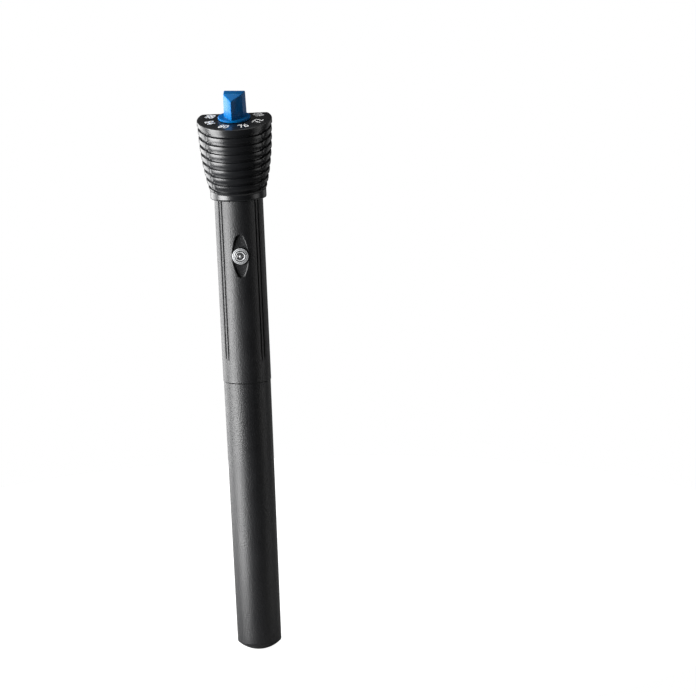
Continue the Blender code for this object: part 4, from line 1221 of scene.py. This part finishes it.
        foot = level(self.collar_radius, low + edge)
        rings = []
        for step in range(1, 13):
            share = step / 12
            rings.append([
                Vector((
                    top.x + (end.x - top.x) * smoothstep(0.0, 0.35, share),
                    top.y + (end.y - top.y) * smoothstep(0.0, 0.35, share),
                    top.z + (end.z - top.z) * share,
                ))
                for top, end in zip(last, foot)
            ])
        for step in range(1, 6):
            turn = math.radians(90.0 * step / 5)
            drop, inset = edge * math.sin(turn), edge * (1.0 - math.cos(turn))
            rings.append(level(self.collar_radius - inset, low + edge - drop))
        socket_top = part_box("upper_barrel")[1].z + 0.3 * MM
        rings.append(level(self.socket_radius + 0.3 * MM, low))
        rings.append(level(self.socket_radius, low + 0.3 * MM))
        rings.append(level(self.socket_radius, socket_top))
        return rings

    def inside(self, layout: Layout) -> list[Ring]:
        """Up the cavity, in under the dial, up the bush hole and out over the dial's face."""
        wall = self.groove_depth + self.wall
        ceiling = self.height - self.dial_thickness

        def cavity(height: float, angle: float) -> float:
            """The cavity's radius, which keeps the back wall."""
            round_form = min(self.flared(height) - wall, self.socket_radius + 0.35 * (height - self.collar_slope))
            return soft_min(round_form, self.back_limit(height, self.wall, angle), 1.0 * MM)

        start = 7.4 * MM
        rings = [self.ring(start + (ceiling - start) * step / 12, cavity, layout) for step in range(13)]
        hole = self.bush_radius
        rings.append(self.ring(ceiling, lambda h, a: hole, layout))
        rings.append(self.ring(self.height - 0.15 * MM, lambda h, a: hole, layout))
        rings.append(self.ring(self.height, lambda h, a: hole + 0.15 * MM, layout))
        for share in (0.25, 0.5, 0.75):
            reach = lambda h, a, s=share: hole + (self.outer_radius(h, a) - self.rim - hole) * s
            rings.append(self.ring(self.height, reach, layout))
        return rings

    def gland(self, head: bpy.types.Object, layout: Layout) -> None:
        """Adds the cord gland's boss to the back and bores it."""
        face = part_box("gland_cap")[1].y - 2.0 * MM
        place = Matrix.Translation((0, 0, layout.gland_centre.z)) @ Matrix.Rotation(-math.pi / 2, 4, "X")
        boss = fillet([(0.0, face), (self.gland_radius, face, 0.3 * MM), (self.gland_radius, face - 8.0 * MM),
                       (0.0, face - 8.0 * MM)])
        combine(head, move(turned("boss", boss, 96, loop=False), place), Cut.ADD, crease=30.0)
        seat = face - self.gland_ledge
        bore = [(0.0, face + 2.0 * MM), (self.grommet_radius, face + 2.0 * MM), (self.grommet_radius, seat),
                (self.cord_bore, seat), (self.cord_bore, 2.0 * MM), (0.0, 2.0 * MM)]
        combine(head, move(turned("bore", bore, 96, loop=False), place), Cut.REMOVE, crease=30.0)

    def build(self, layout: Layout, wardrobe: Wardrobe) -> None:
        """Builds the head and dresses it."""
        outside = self.outside(layout)
        rings = outside + self.collar(outside[-1], layout) + self.inside(layout)
        head = lattice("ribbed_head", rings, loop=True)
        self.gland(head, layout)
        wardrobe.dress(head, "housing_plastic")
        settle(head, Body.HOUSING, "housing_plastic", "head_shell")


@dataclass
class DialPrint:
    """The printed numerals round the dial, which read from outside it."""

    lowest: int = 68
    step: int = 4
    count: int = 6
    spread: float = math.radians(44.5)
    radius: float = 13.0 * MM
    height: float = 4.8 * MM
    width: float = 4.9 * MM
    bold: float = 0.045 * MM
    thickness: float = 0.06 * MM

    def numeral(self, text: str) -> bpy.types.Mesh:
        """A number's mesh, centred, lying in X and Y."""
        curve = bpy.data.curves.new(f"numeral_{text}", "FONT")
        curve.body = text
        curve.align_x = "CENTER"
        curve.align_y = "CENTER"
        curve.size = self.height
        curve.offset = self.bold
        curve.extrude = self.thickness / 2
        curve.resolution_u = 6
        guide = bpy.data.objects.new("numeral", curve)
        bpy.context.scene.collection.objects.link(guide)
        bpy.context.view_layer.update()
        graph = bpy.context.evaluated_depsgraph_get()
        mesh = bpy.data.meshes.new_from_object(guide.evaluated_get(graph))
        bpy.data.objects.remove(guide, do_unlink=True)
        low = [min(vertex.co[axis] for vertex in mesh.vertices) for axis in (0, 1)]
        high = [max(vertex.co[axis] for vertex in mesh.vertices) for axis in (0, 1)]
        scale = (self.width / (high[0] - low[0]), self.height / (high[1] - low[1]), 1.0)
        middle = Vector(((low[0] + high[0]) / 2, (low[1] + high[1]) / 2, 0.0))
        mesh.transform(Matrix.Diagonal((*scale, 1.0)) @ Matrix.Translation(-middle))
        return mesh

    def build(self, layout: Layout, wardrobe: Wardrobe) -> None:
        """Builds the numbers as one piece and dresses them."""
        shape = bmesh.new()
        for number in range(self.count):
            mesh = self.numeral(str(self.lowest + self.step * number))
            angle = ((self.count - 1) / 2 - number) * self.spread
            lift = Matrix.Translation((0.0, -self.radius, self.thickness * 0.6))
            mesh.transform(layout.head @ Matrix.Rotation(angle, 4, "Z") @ lift)
            shape.from_mesh(mesh)
            bpy.data.meshes.remove(mesh)
        bmesh.ops.remove_doubles(shape, verts=shape.verts, dist=0.000001)
        mesh = bpy.data.meshes.new("dial_numerals")
        shape.to_mesh(mesh)
        shape.free()
        print_piece = add_piece("dial_numerals", mesh)
        wardrobe.dress(print_piece, "dial_print")
        settle(print_piece, Body.HOUSING, "dial_print")


@dataclass
class Knob:
    """The blue knob: a thin round flange and a grip with a ridge that points at the scale."""

    rest: float = math.radians(-8.0)
    height: float = 13.2 * MM
    low: float = 0.3 * MM
    flange_radius: float = 8.2 * MM
    flange_thickness: float = 1.1 * MM
    point: float = 8.0 * MM
    shoulder: float = 1.35 * MM
    half_width: float = 4.95 * MM
    back: float = 5.0 * MM
    back_half_width: float = 5.75 * MM
    slope: float = math.radians(16.0)
    draft: float = 0.045
    edge: float = 0.50 * MM
    socket_radius: float = 2.9 * MM
    socket_depth: float = 7.3 * MM
    flat: float = 2.3 * MM

    def grip(self) -> bpy.types.Object:
        """The grip, with its sloping top to the front and rounded edges."""
        outline = [(0.0, -self.point), (self.half_width, -self.shoulder), (self.back_half_width, self.back),
                   (-self.back_half_width, self.back), (-self.half_width, -self.shoulder)]
        grip = prism("grip", outline, self.low, self.height)
        for vertex in grip.data.vertices:
            vertex.co.x *= 1.0 - self.draft * (vertex.co.z - self.low) / (self.height - self.low)
        shape = bmesh.new()
        shape.from_mesh(grip.data)
        normal = Vector((0.0, -math.sin(self.slope), math.cos(self.slope)))
        geometry = list(shape.verts) + list(shape.edges) + list(shape.faces)
        start = Vector((0.0, -self.shoulder, self.height))
        cut = bmesh.ops.bisect_plane(shape, geom=geometry, plane_co=start, plane_no=normal, clear_outer=True)
        edges = [part for part in cut["geom_cut"] if isinstance(part, bmesh.types.BMEdge)]
        bmesh.ops.holes_fill(shape, edges=edges)
        bmesh.ops.recalc_face_normals(shape, faces=shape.faces)
        shape.to_mesh(grip.data)
        shape.free()
        round_edges(grip, self.edge, 4)
        bpy.context.view_layer.update()
        apply_modifiers(grip)
        return grip

    def build(self, layout: Layout, wardrobe: Wardrobe) -> None:
        """Builds the knob on its joint and dresses it."""
        top = self.low + self.flange_thickness
        flange = fillet([(0.0, top), (self.flange_radius, top, 0.45 * MM), (self.flange_radius, self.low, 0.15 * MM),
                         (0.0, self.low)], 5)
        knob = turned("dial_knob", flange, 128, loop=False)
        combine(knob, self.grip(), Cut.ADD)
        socket = prism("socket", self.socket_outline(), -1.0 * MM, self.low + self.socket_depth - 0.3 * MM)
        combine(knob, socket, Cut.REMOVE)
        move(knob, layout.head @ Matrix.Rotation(self.rest, 4, "Z"))
        wardrobe.dress(knob, "knob_plastic")
        settle(knob, Body.KNOB, "knob_plastic", "temperature_knob")

    def socket_outline(self) -> Profile:
        """A circle with a flat, for the shaft's end."""
        reach = math.acos(self.flat / self.socket_radius)
        turns = [math.pi / 2 + reach + (2.0 * math.pi - 2.0 * reach) * step / 40 for step in range(41)]
        return [(self.socket_radius * math.cos(turn), self.socket_radius * math.sin(turn)) for turn in turns]


@dataclass
class Window:
    """The round lens in the eye-shaped window, with the unlit light behind it."""

    lens_radius: float = 4.1 * MM
    stem_radius: float = 2.6 * MM
    steps: tuple[tuple[float, float], ...] = (
        (0.85 * MM, 1.25 * MM), (1.75 * MM, 2.25 * MM), (2.75 * MM, 3.00 * MM),
    )
    step_depth: float = 0.35 * MM
    crown: float = 0.45 * MM

    def build(self, layout: Layout, wardrobe: Wardrobe) -> None:
        """Builds the lens and the light and dresses them."""
        low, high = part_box("led_lens")
        place = Matrix.Translation((0, 0, layout.lens_centre.z)) @ Matrix.Rotation(math.pi / 2, 4, "X")
        tip, stem_end = -low.y, -high.y
        face = tip - self.crown
        seat = face - 1.25 * MM
        rings = [(0.0, tip), (0.25 * MM, tip), (0.50 * MM, tip - 0.12 * MM, 0.10 * MM)]
        for valley, crest in self.steps:
            rings += [(valley, face - self.step_depth, 0.06 * MM), (crest, face + 0.12 * MM, 0.10 * MM)]
        profile = fillet(rings + [
            (self.lens_radius - 0.9 * MM, face - 0.10 * MM, 0.10 * MM),
            (self.lens_radius, face - 0.20 * MM, 0.28 * MM),
            (self.lens_radius, seat, 0.08 * MM),
            (self.stem_radius, seat),
            (self.stem_radius, stem_end, 0.15 * MM),
            (0.0, stem_end),
        ], 3)
        lens = move(turned("window_lens", profile, 96, loop=False), place)
        wardrobe.dress(lens, "lens_clear")
        settle(lens, Body.HOUSING, "lens_clear", "led_lens")
        self.light(place, wardrobe)

    def light(self, place: Matrix, wardrobe: Wardrobe) -> None:
        """The two-colour light: a domed body with a flange at its foot."""
        low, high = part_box("indicator_led")
        tip, base = -low.y, -high.y
        radius = 2.5 * MM
        dome = [
            (radius * math.sin(turn), tip - radius * (1.0 - math.cos(turn)))
            for turn in (math.radians(90.0 * step / 12) for step in range(13))
        ]
        foot = fillet([(radius, base + 1.0 * MM), (radius + 0.4 * MM, base + 1.0 * MM, 0.1 * MM),
                       (radius + 0.4 * MM, base, 0.1 * MM), (0.0, base)])
        light = move(turned("two_colour_light", dome + foot, 64, loop=False), place)
        wardrobe.dress(light, "lens_clear")
        settle(light, Body.HOUSING, "lens_clear", "indicator_led")


@dataclass
class CordGland:
    """The grommet and the cap in the gland at the back of the head."""

    cap_radius: float = 6.0 * MM
    neck_radius: float = 4.3 * MM
    bore: float = 3.1 * MM
    flutes: int = 12
    flute_depth: float = 0.35 * MM

    def build(self, layout: Layout, wardrobe: Wardrobe) -> None:
        """Builds the cap and the grommet and dresses them."""
        place = Matrix.Translation((0, 0, layout.gland_centre.z)) @ Matrix.Rotation(-math.pi / 2, 4, "X")
        low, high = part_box("gland_cap")
        flange = high.y - 1.7 * MM
        profile = fillet([
            (self.bore, high.y, 0.4 * MM),
            (self.cap_radius, high.y, 0.45 * MM),
            (self.cap_radius, flange, 0.15 * MM),
            (self.neck_radius, flange),
            (self.neck_radius, low.y, 0.15 * MM),
            (self.bore, low.y, 0.15 * MM),
        ], 5)
        rings = turned_rings(profile, 144)
        for ring in rings:
            for point in ring:
                reach = math.hypot(point.x, point.y)
                if reach > self.neck_radius + 0.8 * MM:
                    wave = 0.5 - 0.5 * math.cos(self.flutes * math.atan2(point.x, -point.y))
                    share = 1.0 - self.flute_depth * wave**3 / reach
                    point.x *= share
                    point.y *= share
        cap = move(lattice("gland_nut", rings, loop=True), place)
        wardrobe.dress(cap, "housing_plastic")
        settle(cap, Body.HOUSING, "housing_plastic", "gland_cap")
        low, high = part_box("cord_grommet")
        profile = fillet([(self.bore, high.y, 0.3 * MM), (self.neck_radius, high.y, 0.3 * MM),
                          (self.neck_radius, low.y, 0.3 * MM), (self.bore, low.y, 0.3 * MM)])
        grommet = move(turned("cord_seal", profile, 96), place)
        wardrobe.dress(grommet, "seal_rubber")
        settle(grommet, Body.HOUSING, "seal_rubber", "cord_grommet")


# ---------------------------------------------------------------------------------------------
# Inside: the CAD pieces keep their shapes and get rounded edges and their finishes.
# ---------------------------------------------------------------------------------------------


@dataclass
class Works:
    """Every piece that is seen only when the heater is taken apart."""

    edge: float = 0.00018
    boxy: tuple[str, ...] = field(default_factory=lambda: (
        "control_board", "terminal_block", "heat_spreader", "triac", "film_capacitor", "control_chip",
        "control_body", "electrolytic_capacitor", "dropper_resistor", "thermal_cutoff", "thermistor",
    ))

    def build(self, hidden: set[str], wardrobe: Wardrobe) -> None:
        """Dresses the carried-over nodes.

        Args:
            hidden: the nodes that a visual piece already stands for.
            wardrobe: the materials.
        """
        slots = {part["node"]: part["material_slot"] for part in frame["record"]["subparts"]}
        for name, node in frame["nodes"].items():
            if name in hidden:
                continue
            if name in self.boxy:
                round_edges(node, self.edge, 2)
            node.data.shade_smooth()
            node.data.set_sharp_from_angle(angle=math.radians(32.0))
            wardrobe.dress(node, slots[name])
            LOG.info("%s keeps its shape, in %s", name, slots[name])


# ---------------------------------------------------------------------------------------------
# The studio.
# ---------------------------------------------------------------------------------------------


@dataclass
class Studio:
    """A pale sweep, a tall soft light at the left, a weak fill at the right, and the camera."""

    target: Vector = field(default_factory=lambda: Vector((0.0, 0.0, 0.145)))
    azimuth: float = 2.42
    elevation: float = 10.44
    distance: float = 1.649
    roll: float = -2.75
    aim_right: float = 1.812
    aim_up: float = 0.345
    lens: float = 166.9
    floor_radius: float = 0.30
    floor_front: float = 0.13
    floor_glow: float = 0.97
    ambient: float = 0.02
    key: float = 9.0
    rim: float = 2.9
    fill: float = 1.6
    top: float = 1.3
    back: float = 0.7
    back_right: float = 0.5

    def camera(self) -> None:
        """Places the camera. It looks past the object's right side, with the top leaning left."""
        a, e = math.radians(self.azimuth), math.radians(self.elevation)
        back = Vector((math.sin(a) * math.cos(e), -math.cos(a) * math.cos(e), math.sin(e)))
        forward = -back
        right = forward.cross(Vector((0, 0, 1))).normalized()
        up = right.cross(forward)
        turn, lift, roll = (math.radians(v) for v in (self.aim_right, self.aim_up, self.roll))
        aim = forward * math.cos(turn) + right * math.sin(turn)
        side = right * math.cos(turn) - forward * math.sin(turn)
        look = aim * math.cos(lift) + up * math.sin(lift)
        over = up * math.cos(lift) - aim * math.sin(lift)
        x_axis = side * math.cos(roll) + over * math.sin(roll)
        y_axis = over * math.cos(roll) - side * math.sin(roll)
        basis = Matrix((x_axis, y_axis, -look)).transposed().to_4x4()
        data = bpy.data.cameras.new("camera")
        data.lens = self.lens
        data.sensor_width = 36.0
        data.clip_start, data.clip_end = 0.05, 50.0
        camera = bpy.data.objects.new("camera", data)
        bpy.context.scene.collection.objects.link(camera)
        camera.matrix_world = Matrix.Translation(self.target + back * self.distance) @ basis
        bpy.context.scene.camera = camera

    def softbox(self, name: str, centre: Sequence[float], size: tuple[float, float], glow: float,
                spread: float = 180.0) -> None:
        """Adds a soft rectangular light that faces the object.

        Args:
            name: the light's name.
            centre: where it stands.
            size: its width and height.
            glow: how bright its face is.
            spread: the whole angle that it shines into, in degrees.
        """
        data = bpy.data.lights.new(name, "AREA")
        data.shape = "RECTANGLE"
        data.size, data.size_y = size
        data.energy = glow * math.pi * size[0] * size[1]
        data.spread = math.radians(spread)
        lamp = bpy.data.objects.new(name, data)
        bpy.context.scene.collection.objects.link(lamp)
        lamp.location = centre
        lamp.rotation_euler = (self.target - Vector(centre)).to_track_quat("-Z", "Y").to_euler()

    def floor(self) -> None:
        """The pale floor, a thin round sheet that glows a little, so that shadows on it stay soft."""
        floor = turned("floor", [(0.0, -0.0002), (self.floor_radius, -0.0002), (self.floor_radius, -0.01),
                                 (0.0, -0.01)], 128, loop=False)
        material = bpy.data.materials.new("PaleFloor")
        material.use_nodes = True
        graph = Graph(material.node_tree)
        shader = graph.tree.nodes["Principled BSDF"]
        place = graph.add("ShaderNodeTexCoord").outputs["Object"]
        mottle = graph.noise(place, 3.0, 3.0)
        graph.link(graph.mix(mottle, (0.28, 0.28, 0.28, 1), (0.32, 0.32, 0.32, 1)), shader.inputs["Base Color"])
        shader.inputs["Roughness"].default_value = 0.8
        shader.inputs["Specular IOR Level"].default_value = 0.1
        shader.inputs["Emission Color"].default_value = (1.0, 1.0, 1.0, 1.0)
        seen = graph.add("ShaderNodeLightPath").outputs["Is Camera Ray"]
        graph.link(graph.math("MULTIPLY", seen, self.floor_glow), shader.inputs["Emission Strength"])
        floor.data.materials.append(material)
        move(floor, Matrix.Translation((0.0, self.floor_radius - self.floor_front, 0.0)))

    def world(self) -> None:
        """A white surround to look at, and a dim one to light by."""
        world = bpy.data.worlds.new("surround")
        world.use_nodes = True
        graph = Graph(world.node_tree)
        background = world.node_tree.nodes["Background"]
        seen = graph.add("ShaderNodeLightPath").outputs["Is Camera Ray"]
        dim = (self.ambient, self.ambient, self.ambient, 1.0)
        graph.link(graph.mix(seen, dim, (1.0, 1.0, 1.0, 1.0)), background.inputs["Color"])
        bpy.context.scene.world = world

    def build(self) -> None:
        """Sets the whole studio up."""
        self.camera()
        self.floor()
        self.world()
        self.softbox("soft_left", (-0.86, -0.40, 0.20), (0.75, 1.0), self.key, 130.0)
        self.softbox("rim_left", (-0.78, 0.54, 0.24), (0.75, 1.0), self.rim, 130.0)
        self.softbox("fill_right", (0.93, -0.16, 0.30), (0.45, 0.9), self.fill)
        self.softbox("overhead", (0.0, 0.3, 1.7), (1.6, 1.6), self.top)
        self.softbox("behind", (-0.55, 1.15, 0.25), (0.8, 1.2), self.back)
        self.softbox("behind_right", (0.75, 0.85, 0.30), (0.5, 1.0), self.back_right)
        bpy.context.scene.view_settings.view_transform = "Standard"


def main() -> None:
    """Builds the heater's looks, in order."""
    logging.basicConfig(level=logging.INFO, format="%(message)s")
    layout = Layout.from_frame()
    wardrobe = Wardrobe()
    for assembly in (HeatingTube(), Barrel(), Head(), DialPrint(), Knob(), Window(), CordGland()):
        assembly.build(layout, wardrobe)
    hidden = {"lower_tube", "upper_barrel", "head_shell", "temperature_knob", "led_lens", "indicator_led",
              "gland_cap", "cord_grommet"}
    Works().build(hidden, wardrobe)
    Studio().build()


if __name__ == "__main__":
    main()
